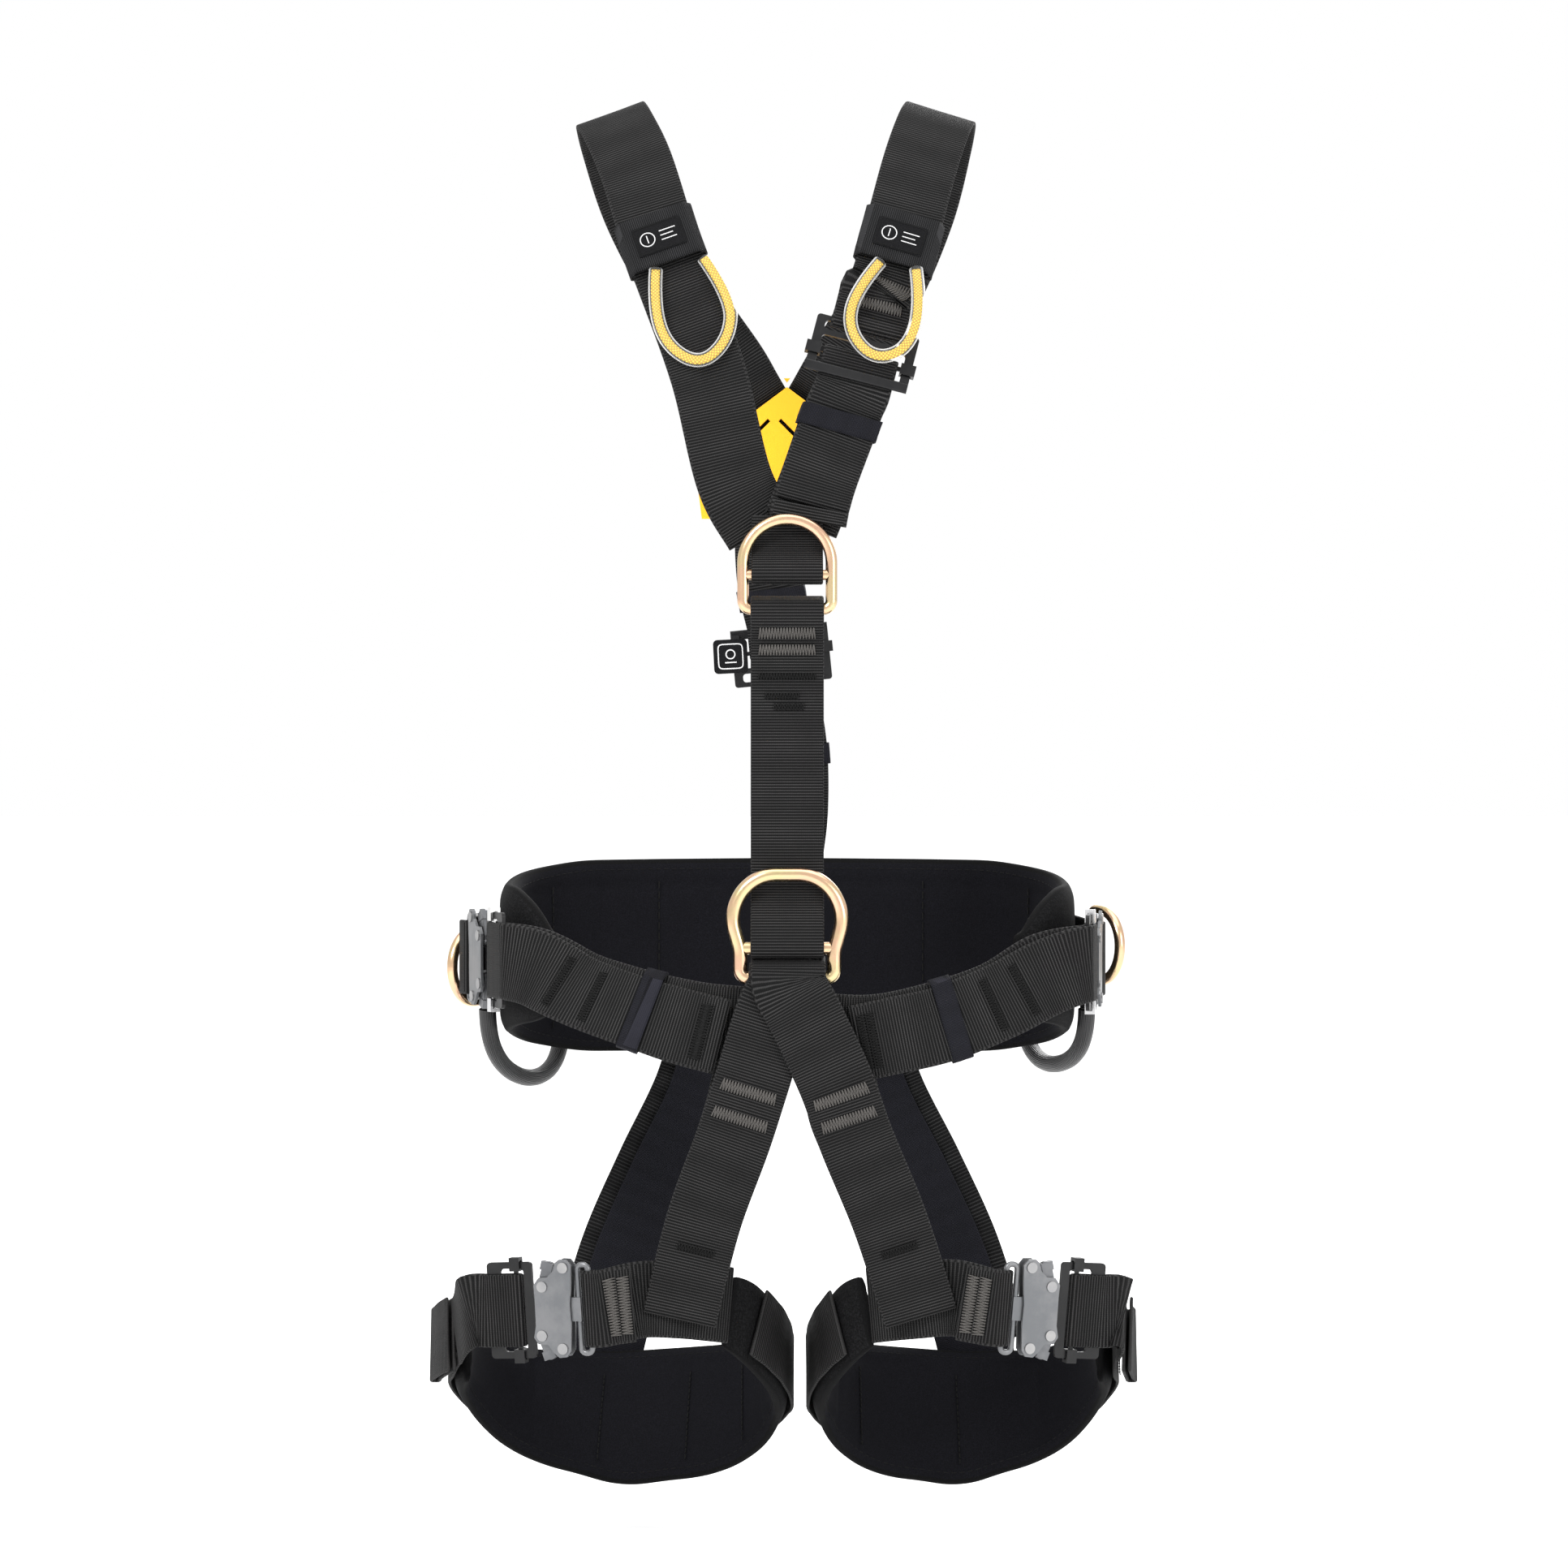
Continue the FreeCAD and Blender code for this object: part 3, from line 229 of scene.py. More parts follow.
def tube_black():
    k = Mat("tube_black", (0.012, 0.012, 0.013), 0.42)
    u, v = k.uv()
    ribs = k.wave(v, 1 / 30.0)
    knit = k.wave(u, 1 / 90.0)
    look = k.math("MULTIPLY", k.step(ribs, 0.5, 1.0), k.math("MULTIPLY_ADD", knit, 0.5, 0.5))
    k.color(k.mix(look, (0.002, 0.002, 0.0025), (0.022, 0.022, 0.024)))
    k.bump(ribs, 0.0003, 0.8)
    return k.m


def tube_clear():
    k = Mat("tube_clear", (0.78, 0.78, 0.77), 0.14)
    # painted reflection: the pale base colour turns opaque where the wall is seen at a grazing angle,
    # standing in for the white surroundings reflected there; the middle stays nearly clear
    rim = k.t.nodes.new("ShaderNodeLayerWeight")
    rim.inputs["Blend"].default_value = 0.5
    edge = k.step(rim.outputs["Facing"], 0.3, 0.75)
    k.t.links.new(k.math("MULTIPLY_ADD", edge, 0.72, 0.05), k.b.inputs["Alpha"])
    k.rough(k.math("MULTIPLY_ADD", k.noise(120, 2.0), 0.1, 0.08))
    return k.m


def braid_yellow():
    k = Mat("braid_yellow", (0.9, 0.6, 0.03), 0.6)
    u, v = k.uv()
    a = k.wave(k.math("ADD", u, v), 0.0022)
    b = k.wave(k.math("SUBTRACT", u, v), 0.0022)
    look = k.math("MULTIPLY", a, b)
    k.color(k.mix(look, (0.35, 0.2, 0.01), (0.95, 0.68, 0.05)))
    k.bump(look, 0.0003, 0.8)
    return k.m


YELLOW, TUBE, CLEAR, BRAID = yellow_plastic(), tube_black(), tube_clear(), braid_yellow()


# ------------------------------------------------------------------ mesh helpers
def mesh_object(name, verts, faces, mats, slots=None, uvs=None, smooth=True):
    me = bpy.data.meshes.new(name)
    me.from_pydata([tuple(Vector(v) * MM) for v in verts], [], faces)
    for m in mats if isinstance(mats, (list, tuple)) else [mats]:
        me.materials.append(m)
    if slots:
        me.polygons.foreach_set("material_index", slots)
    if smooth:
        me.polygons.foreach_set("use_smooth", [True] * len(me.polygons))
    if uvs:
        layer = me.uv_layers.new(name="UVMap")
        flat = []
        for uv_face in uvs:
            for a, b in uv_face:
                flat += [a * MM, b * MM]
        layer.data.foreach_set("uv", flat)
    me.validate()
    ob = bpy.data.objects.new(name, me)
    bpy.context.scene.collection.objects.link(ob)
    return ob


def attach(ob, node=None):
    """All soft pieces are sewn to the harness body."""
    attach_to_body(ob, "harness")
    if node:
        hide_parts(*([node] if isinstance(node, str) else node))
    return ob


def dense(route, step=3.0, least=2):
    """Centripetal Catmull-Rom through a route of (centre, across) pairs."""
    P = [Vector(c) for c, a in route]
    A = [Vector(a).normalized() for c, a in route]
    out = []
    for i in range(len(P) - 1):
        p1, p2 = P[i], P[i + 1]
        p0 = P[i - 1] if i else p1 * 2 - p2
        p3 = P[i + 2] if i + 2 < len(P) else p2 * 2 - p1
        t1 = max((p1 - p0).length, 1e-4) ** 0.5
        t2 = t1 + max((p2 - p1).length, 1e-4) ** 0.5
        t3 = t2 + max((p3 - p2).length, 1e-4) ** 0.5
        count = max(least, math.ceil((p2 - p1).length / step))
        for j in range(count):
            s = j / count
            t = t1 + (t2 - t1) * s
            a1 = p0 * ((t1 - t) / t1) + p1 * (t / t1)
            a2 = p1 * ((t2 - t) / (t2 - t1)) + p2 * ((t - t1) / (t2 - t1))
            a3 = p2 * ((t3 - t) / (t3 - t2)) + p3 * ((t - t2) / (t3 - t2))
            b1 = a1 * ((t2 - t) / t2) + a2 * (t / t2)
            b2 = a2 * ((t3 - t) / (t3 - t1)) + a3 * ((t - t1) / (t3 - t1))
            c = b1 * ((t2 - t) / (t2 - t1)) + b2 * ((t - t1) / (t2 - t1))
            w = s * s * (3 - 2 * s)
            out.append((c, A[i].lerp(A[i + 1], w)))
    out.append((P[-1], A[-1]))
    return out


STRAPS = {}     # name -> rows of (length so far, centre, across, up), for stitching and keepers


def strap_rows(route, step=3.0, least=2):
    pts = dense(route, step, least)
    rows, run = [], 0.0
    for i, (c, a) in enumerate(pts):
        tangent = (pts[min(i + 1, len(pts) - 1)][0] - pts[max(i - 1, 0)][0]).normalized()
        across = (a - tangent * a.dot(tangent)).normalized()
        up = tangent.cross(across).normalized()
        if i:
            run += (c - pts[i - 1][0]).length
        rows.append((run, c, across, up))
    return rows


def strap(name, route, width=WEB_W, thick=WEB_T, mat=WEB, step=3.0, ripple=0.0, least=2):
    """Webbing as a flat sleeve section with rounded selvedges, UVs in metres: length, then width."""
    rows = strap_rows(route, step, least)
    STRAPS[name] = [(s, c, a * (width / 2), u * (thick / 2)) for s, c, a, u in rows]
    lip = min(thick * 0.5, 1.1) / (width / 2)
    half = [-1 + lip, -0.62, -0.2, 0.2, 0.62, 1 - lip]
    turn = 1 - lip * 0.3
    section = [(x, 1.0) for x in half] + [(turn, 0.7), (1.0, 0.0), (turn, -0.7)]
    section += [(x, -1.0) for x in reversed(half)] + [(-turn, -0.7), (-1.0, 0.0), (-turn, 0.7)]
    n = len(section)
    verts, faces, uvs = [], [], []
    for i, (s, c, a, u) in enumerate(STRAPS[name]):
        if ripple:
            sway = ripple * math.sin(s * TAU / 17.0) * (1 + 0.3 * math.sin(s * 0.13))
        else:
            sway = 0.12 * math.sin(s * 0.11 + len(name))
        wob = u.normalized() * sway
        for x, y in section:
            verts.append(c + a * x + u * y + wob * (1.0 - 0.3 * abs(x)))
    for i in range(len(rows) - 1):
        s0, s1 = rows[i][0], rows[i + 1][0]
        for j in range(n):
            k = (j + 1) % n
            faces.append((i * n + j, i * n + k, (i + 1) * n + k, (i + 1) * n + j))
            x0, x1 = section[j][0] * width / 2, section[k][0] * width / 2
            uvs.append(((s0, x0), (s0, x1), (s1, x1), (s1, x0)))
    last = (len(rows) - 1) * n
    faces.append(tuple(reversed(range(n))))
    faces.append(tuple(range(last, last + n)))
    uvs.append([(0.4, section[j][0] * width / 2) for j in reversed(range(n))])
    uvs.append([(0.4, section[j][0] * width / 2) for j in range(n)])
    return mesh_object(name, verts, faces, mat, uvs=uvs)


def at(name, s):
    """Centre, half across and half up of a strap at a length along it."""
    rows = STRAPS[name]
    for r0, r1 in zip(rows, rows[1:]):
        if s <= r1[0]:
            break
    w = (s - r0[0]) / max(r1[0] - r0[0], 1e-6)
    return [r0[k].lerp(r1[k], w) for k in (1, 2, 3)]


def nearest(name, point):
    """Length along a strap of its place nearest to a point."""
    return min(STRAPS[name], key=lambda r: (r[1] - Vector(point)).length)[0]


def threads(name, lines, radius, mat):
    """Threads drawn as round curves, one spline to each line of points."""
    cu = bpy.data.curves.new(name, "CURVE")
    cu.dimensions, cu.bevel_depth, cu.bevel_resolution = "3D", radius * MM, 1
    for line in lines:
        sp = cu.splines.new("POLY")
        sp.points.add(len(line) - 1)
        for p, q in zip(sp.points, line):
            p.co = (*(Vector(q) * MM), 1)
    cu.materials.append(mat)
    ob = bpy.data.objects.new(name, cu)
    bpy.context.scene.collection.objects.link(ob)
    return attach(ob)


def bartack(name, s, side=1, wide=33.0, long=6.5, pitch=0.85, shift=0.0):
    """Zigzag stitching over a strap's width at a length along it, on its up (+1) or down (-1) side."""
    line, count = [], int(wide / pitch)
    swing = (-0.5, -0.17, 0.17, 0.5, 0.5, 0.17, -0.17, -0.5)
    for i in range(4 * count + 1):
        c, a, u = at(name, s + long * swing[i % 8])
        x = shift - wide / 2 + wide * i / (4 * count)
        line.append(c + a.normalized() * x + u * side + u.normalized() * side * 0.75)
    return line


def side_towards(name, s, direction):
    return 1 if at(name, s)[2].dot(Vector(direction)) > 0 else -1


# ------------------------------------------------------------------ the shapes the frame was built on
BUCKLES = {
    "leg_left": ((-136.5, -104, -200.5), (1, -0.35, 0.06), (-0.08, 0, 1)),
    "leg_right": ((147.5, -102.5, -200.5), (-1, -0.4, 0.08), (0.1, 0, 1)),
    "waist_left": ((-184.5, -43, 4), (-0.38, 0.92, 0), (0, 0, 1)),
    "waist_right": ((184.5, -50, 3), (0.16, 0.98, 0), (0, 0, 1))}
ADJUSTER = ((44.2, -97.6, 363.5), (0.25, 0.2, 0.97), (1, 0, -0.26))
SPINE = ((-3.6, 104.6, 190), (0.1, 0.02, -1), (1, 0, 0.1))
LINK_U, BAR_U, FOLD_R = 22.0, -23.6, 3.1        # a buckle's link and bar, and the fold round them
RAIL_U, RAIL_FOLD_R, BAR_FOLD_U = 15.5, 3.4, -4.0       # an adjuster's rail and bar
BELT_A, BELT_B, PAD_T, BELT_END = 170.0, 110.0, 12.0, 132.0
BELT_STEPS, LEG_STEPS, LEG_START, LEG_SPAN = 132, 103, -138, 246
LEG_SIDES = {"left": (-1, -101.0, 96.0), "right": (1, 106.5, 86.0)}
LEG_B, LEG_TOP_Y, LEG_PAD_T = 84.5, -15.0, 11.0
STERNAL_Y, STERNAL_CROSS_Z, STERNAL_BAR_Z, STERNAL_R = -117.0, 231.5, 211.5, 3.4
VENTRAL_Y, VENTRAL_CROSS_Z, VENTRAL_BAR_Z, VENTRAL_R = -120.0, 12.8, -4.5, 4.1
CHEST_Y = -112.6


def wrap(piece, u0, radius, sense, front_reach, rear_reach, first=1, near=0.82):
    """Route of webbing folded round a bar; both layers leave towards sense times +u."""
    origin, along = Vector(piece[0]), Vector(piece[1]).normalized()
    normal = along.cross(Vector(piece[2])).normalized()
    across = normal.cross(along)

    def at_uw(u, w):
        return origin + along * u + normal * w

    front = (1, near) if front_reach > 12 else (1,)
    rear = (near, 1) if rear_reach > 12 else (1,)
    route = [at_uw(u0 + sense * front_reach * k, first * radius) for k in front]
    for k in range(7):
        angle = math.pi * k / 6
        route.append(at_uw(u0 - sense * radius * math.sin(angle), first * radius * math.cos(angle)))
    route += [at_uw(u0 + sense * rear_reach * k, -first * radius) for k in rear]
    return [(p, across) for p in route]


def bend(y, z, radius, start, end, count=7, x=0.0):
    angles = [math.radians(start + (end - start) * k / (count - 1)) for k in range(count)]
    return [(x, y + radius * math.cos(a), z + radius * math.sin(a)) for a in angles]


def between(value, table):
    for (k0, v0), (k1, v1) in zip(table, table[1:]):
        if value <= k1:
            return v0 + (v1 - v0) * (value - k0) / (k1 - k0)
    return table[-1][1]


def soft_between(value, table, width=6.0):
    """The same table with its corners rounded off."""
    return sum(between(value + d * width, table) for d in (-1, -0.5, 0, 0.5, 1)) / 5


def belt_point(degrees, offset=0.0):
    s, c = math.sin(math.radians(degrees)), math.cos(math.radians(degrees))
    x = (BELT_A + offset) * math.copysign(abs(s) ** 0.8, s)
    y = (BELT_B + offset) * math.copysign(abs(c) ** 0.8, c)
    return V(x, y, 0)


def leg_point(side, degrees):
    sign, centre_x, half_w = LEG_SIDES[side]
    height = [(-180, -197), (-150, -200), (-133, -206), (-110, -230), (-90, -250), (-75, -257), (-60, -270),
              (-45, -278), (-30, -284), (0, -290), (30, -282), (45, -274), (60, -260), (75, -246),
              (90, -236), (110, -226), (138, -212), (160, -202), (180, -197)]
    a = math.radians(degrees)
    x, y = centre_x + sign * half_w * math.sin(a), LEG_TOP_Y + LEG_B * math.cos(a)
    return V(x, y, soft_between(degrees, height))


def leg_frame(side, degrees):
    sign = LEG_SIDES[side][0]
    a = math.radians(degrees)
    along = leg_point(side, degrees + 2) - leg_point(side, degrees - 2)
    up = V(0, 0.44 * (1 + math.cos(a)) / 2 + 0.1, 0.95)
    out = along.cross(up).normalized()
    if out.dot(V(sign * math.sin(a), math.cos(a), 0)) < 0:
        out = -out
    up = along.cross(out).normalized()
    return out, (-up if up.z < 0 else up)


# ------------------------------------------------------------------ pads
def pad(name, stations, thick, node, seams):
    """Foam pad with a bound edge.

    Stations along it are (centre, out, up, low, high); out is away from the wearer. Seams are
    (station, share of half height, depth) and sink into the lining; station None runs lengthwise.
    """
    cols = 44
    verts, faces, slots = [], [], []
    for i, (c, out, up, low, high) in enumerate(stations):
        end = min(i, len(stations) - 1 - i)
        taper = min(1.0, 0.45 + 0.14 * end)
        mid, half = (low + high) / 2, (high - low) / 2
        for j in range(cols):
            a = TAU * j / cols
            ca, sa = math.cos(a), math.sin(a)
            h = math.copysign(abs(sa) ** 0.5, sa)
            w = math.copysign(abs(ca) ** 0.42, ca)
            edge = max(0.0, (abs(h) * half - (half - 9.0)) / 9.0)
            swell = 1.0 - 0.42 * edge ** 1.5
            t = thick / 2 * w * swell * taper
            z = mid + h * half
            if ca < 0:      # the lining side: sewn channels sink into the foam
                for s_i, s_z, depth in seams:
                    if s_i is not None:
                        d = abs(i - s_i)
                        t += depth * math.exp(-(d / 0.8) ** 2) if abs(h) < 0.8 else 0.0
                    else:
                        t += depth * math.exp(-((z - mid - s_z * half) / 2.4) ** 2)
            verts.append(c + out * t + up * z)
    rows = len(stations)
    for i in range(rows - 1):
        for j in range(cols):
            k = (j + 1) % cols
            faces.append((i * cols + j, i * cols + k, (i + 1) * cols + k, (i + 1) * cols + j))
            a = TAU * (j + 0.5) / cols
            edge_on = abs(math.sin(a)) ** 0.5 > 0.955 or i < 1 or i > rows - 3
            slots.append(2 if edge_on else (0 if math.cos(a) < 0 else 1))
    faces += [tuple(reversed(range(cols))), tuple(range((rows - 1) * cols, rows * cols))]
    slots += [2, 2]
    ob = mesh_object(name, verts, faces, [LINING, SHELL, BINDING], slots)
    sub = ob.modifiers.new("sub", "SUBSURF")
    sub.levels = sub.render_levels = 1
    attach(ob, node)
    return ob


def seam_line(stations, level, thick, inset, dash=3.2, gap=1.9):
    """Dashes of thread along a pad at a share of its half height, on its lining side."""
    line, points = [], []
    for c, out, up, low, high in stations:
        mid, half = (low + high) / 2, (high - low) / 2 - inset
        points.append(c + up * (mid + half * level) - out * thick)
    run, lengths = 0.0, [0.0]
    for p, q in zip(points, points[1:]):
        run += (q - p).length
        lengths.append(run)
    s, k = dash, 0
    while s + dash < run - dash:
        ends = []
        for t in (s, s + dash):
            while k < len(lengths) - 2 and lengths[k + 1] < t:
                k += 1
            w = (t - lengths[k]) / (lengths[k + 1] - lengths[k])
            ends.append(points[k].lerp(points[k + 1], w))
        line.append(ends)
        s += dash + gap
    return line


def cross_seam(stations, share, thick, low_end=-0.8, high_end=0.8):
    """Dashes across a pad's lining at a share of its length."""
    c, out, up, low, high = stations[round(share * (len(stations) - 1))]
    mid, half, count = (low + high) / 2, (high - low) / 2, 15
    levels = [low_end + (high_end - low_end) * i / count for i in range(count + 1)]
    rows = [c + up * (mid + half * level) - out * thick for level in levels]
    return [[p, p.lerp(q, 0.7)] for p, q in zip(rows, rows[1:])]


def belt_stations():
    top = [(0, 62), (45, 61), (70, 55), (90, 49), (110, 47), (122, 36), (BELT_END, 12)]
    bottom = [(0, -62), (45, -60), (70, -52), (90, -43), (110, -36), (122, -33), (BELT_END, -24)]
    out = []
    for k in range(BELT_STEPS + 1):
        d = -BELT_END + 2 * BELT_END * k / BELT_STEPS
        c = belt_point(d)
        tangent = belt_point(d + 0.6) - belt_point(d - 0.6)
        away = V(tangent.y, -tangent.x, 0).normalized()
        if away.dot(c) < 0:
            away = -away
        place = min(abs(d), BELT_END - 3)
        out.append((c, away, V(0, 0, 1), soft_between(place, bottom, 4), soft_between(place, top, 4)))
    return out


BELT = belt_stations()
pad("belt_pad_soft", BELT, PAD_T, "belt_pad",
    [(24, 0, 1.3), (46, 0, 1.3), (86, 0, 1.3), (108, 0, 1.3), (None, 0.74, 1.2), (None, -0.74, 1.2)])
edges = seam_line(BELT[6:-6], 1.0, 4.6, 6.5) + seam_line(BELT[6:-6], -1.0, 4.6, 6.5)
threads("belt_seams", edges, 0.28, THREAD_BLACK)
cross = []
for share in (0.27, 0.41, 0.6, 0.74):
    cross += cross_seam(BELT, share, 6.4)
threads("belt_cross_seams", cross, 0.5, THREAD_BLACK)
tacks = []
for d in (-52, -24, 10, 40, 62):
    c, out, up, low, high = BELT[round((d + BELT_END) / (2 * BELT_END) * BELT_STEPS)]
    tangent = up.cross(out)
    for row in (0, 0.8):
        middle = c - out * (PAD_T / 2 - 1.6) + up * (high - 7.5 - row)
        tacks.append([middle + tangent * x for x in (-5, 0, 5)])
threads("belt_tacks", tacks, 0.33, THREAD)


def leg_stations(side):
    half = [(-138, 21), (-133, 23), (-110, 25), (-90, 25), (-75, 29), (-60, 34), (-45, 40), (-30, 43),
            (0, 45), (30, 38), (45, 34), (60, 31), (75, 28), (90, 27), (108, 24)]
    out = []
    for k in range(LEG_STEPS + 1):
        d = LEG_START + LEG_SPAN * k / LEG_STEPS
        away, up = leg_frame(side, d)
        reach = soft_between(d, half, 5)
        out.append((leg_point(side, d), away, up, -reach, reach))
    return out


for side in LEG_SIDES:
    st = leg_stations(side)
    pad("leg_pad_%s_soft" % side, st, LEG_PAD_T, "leg_pad_" + side,
        [(30, 0, 1.2), (74, 0, 1.2), (None, 0.7, 1.1), (None, -0.7, 1.1)])
    edges = seam_line(st[5:-5], 1.0, 4.2, 6) + seam_line(st[5:-5], -1.0, 4.2, 6)
    threads("leg_seams_" + side, edges, 0.28, THREAD_BLACK)
    cross = []
    for share in (0.34, 0.46, 0.6) if side == "left" else (0.36, 0.56):
        cross += cross_seam(st, share, 6.2, -0.75, 0.6)
    threads("leg_cross_seams_" + side, cross, 0.5, THREAD_BLACK)


# ------------------------------------------------------------------ straps
Z = (0, 0, 1)
X = (1, 0, 0)


def plain(points, across=X):
    return [(p, across) for p in points]


def waist():
    left = wrap(BUCKLES["waist_left"], LINK_U, FOLD_R, 1, 7, 5, -1)
    right = wrap(BUCKLES["waist_right"], LINK_U, FOLD_R, 1, 6, 9, -1)
    route = left + [((-184, -4, 5), Z), ((-179.8, 7, 6), Z)]
    for d in range(-82, 83, 10):
        p = belt_point(d, PAD_T / 2 + 1.0 + WEB_T / 2)
        route.append(((p.x, p.y, 6), Z))
    attach(strap("belt_web", route + right), "belt_webbing")
    left_bar = wrap(BUCKLES["waist_left"], BAR_U, FOLD_R, -1, 25, 25, -1)
    right_bar = wrap(BUCKLES["waist_right"], BAR_U, FOLD_R, -1, 22, 25, -1)
    inner = [((-149, -92.5, 1.5), (0, 0.2, 0.98)), ((-120, -103.5, -11), (0, 0.45, 0.9)),
             ((-90, -110.5, -20), (0, 0.42, 0.9)), ((-55, -114.5, -29), (0, 0.2, 0.97)),
             ((0, -115.5, -34), Z), ((50, -114.5, -37), Z),
             ((90, -110.5, -29), (0, 0.15, 0.98)), ((124.5, -103.5, -17.4), (0, 0.2, 0.97)),
             ((153, -94.5, -1), (0, 0.1, 1))]
    left_tail = [((-38, -121.8, -39), (0, 0.05, 1)), ((-58, -120, -34), (0, 0.18, 0.97)),
                 ((-91, -116.4, -24), (0, 0.4, 0.9)), ((-122, -109.9, -13), (0, 0.44, 0.9)),
                 ((-150.5, -99, 0.5), (0, 0.2, 0.98))]
    right_tail = [((169, -103.4, 1), (0, 0.05, 1)), ((151, -103.4, -6), (0, 0.12, 0.98)),
                  ((126, -108.8, -18.5), (0, 0.2, 0.97)), ((91, -114.8, -32), (0, 0.15, 0.98)),
                  ((62, -118.6, -38.5), (0, 0.05, 1)),
                  ((40, -120.4, -43), Z)]
    route = left_tail + left_bar + inner + right_bar + right_tail
    attach(strap("waist_web", route), "waist_strap")


def chest():
    low_r, top_r, swing = 3.6 + 0.5 + WEB_T / 2, STERNAL_R + 0.5 + WEB_T / 2, 8.6
    rear = CHEST_Y + WEB_T + 0.6
    points = [(0, rear, 58), (0, VENTRAL_Y + low_r + 0.4, 26)]
    points += bend(VENTRAL_Y, VENTRAL_CROSS_Z, low_r, 0, -180)
    points += [(0, VENTRAL_Y - low_r + 0.8, 24), (0, CHEST_Y - 1.4, 46), (0, CHEST_Y, 58), (0, CHEST_Y, 185),
               (0, STERNAL_Y - top_r + 1.2, 202)]
    points += bend(STERNAL_Y, STERNAL_BAR_Z, top_r, 180, 90, 4)
    points += [(0, STERNAL_Y + swing * 0.5, STERNAL_BAR_Z + top_r + 1.6)]
    points += bend(STERNAL_Y + swing, STERNAL_BAR_Z + 2.2, top_r, 80, 0, 4)
    points += [(0, STERNAL_Y + swing + top_r - 1.0, 200), (0, rear, 182), (0, rear, 150)]
    attach(strap("chest_web", plain(points), width=43), "chest_strap")
    radius = 3.0 + 0.5 + WEB_T / 2
    points = [(0, -108.6, 267), (0, -108.6, 256), (0, -112.2, 247), (0, STERNAL_Y - radius + 0.8, 236)]
    points += bend(STERNAL_Y, STERNAL_CROSS_Z, radius, 180, 360)
    points += [(0, -108.0, 240), (0, -100.6, 254), (0, -99.6, 268)]
    attach(strap("sternal_web", plain(points), width=42), "sternal_loop")


def risers():
    inner_r = VENTRAL_R + 0.5 + WEB_T / 2
    paths = {
        "left": (-0.6, inner_r,
                 [(-8, -126.2, -24, 0.3), (-20.7, -125.6, -65, 0.27), (-31.2, -121.5, -98, 0.29),
                  (-48.5, -113.5, -146, 0.29), (-61, -109, -195, 0.26), (-63.5, -108.4, -206, 0.26)]),
        "right": (0.6, inner_r + WEB_T + 1.5,
                  [(9, -129.4, -24, -0.42), (28.3, -128.4, -65, -0.36), (40, -123.6, -98, -0.34),
                   (59.6, -115.6, -146, -0.33), (75.3, -109.8, -194, -0.3), (78.6, -109.2, -205, -0.3)])}
    swing = 8.7
    for side, (top_x, radius, front) in paths.items():
        rear_y = VENTRAL_Y + swing + radius
        route = [((x, y, z), (1, 0, -lean)) for x, y, z, lean in reversed(front)]
        low_x, lean = top_x + (front[0][0] - top_x) * 0.25, front[0][3]
        route += [((low_x, VENTRAL_Y - radius, VENTRAL_BAR_Z - 8), (1, 0, -lean)),
                  ((top_x, VENTRAL_Y - radius, VENTRAL_BAR_Z - 1.5), (1, 0, -lean / 2))]
        arch = bend(VENTRAL_Y, VENTRAL_BAR_Z, radius, 150, 100, 3, top_x)
        arch += bend(VENTRAL_Y + swing, VENTRAL_BAR_Z + 2.2, radius, 75, 0, 4, top_x)
        arch += [(top_x, rear_y, VENTRAL_BAR_Z - 7)]
        route += plain(arch)
        rear = [(front[0][0], rear_y, -26, front[0][3]), (front[1][0], rear_y, -60, front[1][3]),
                (front[2][0] * 0.86, front[2][1] + WEB_T + 0.6, -84, front[2][3]),
                (front[2][0], front[2][1] + WEB_T + 0.6, -98, front[2][3])]
        route += [((x, y, z), (1, 0, -lean)) for x, y, z, lean in rear]
        attach(strap("riser_web_" + side, route, width=44), "leg_riser_" + side)


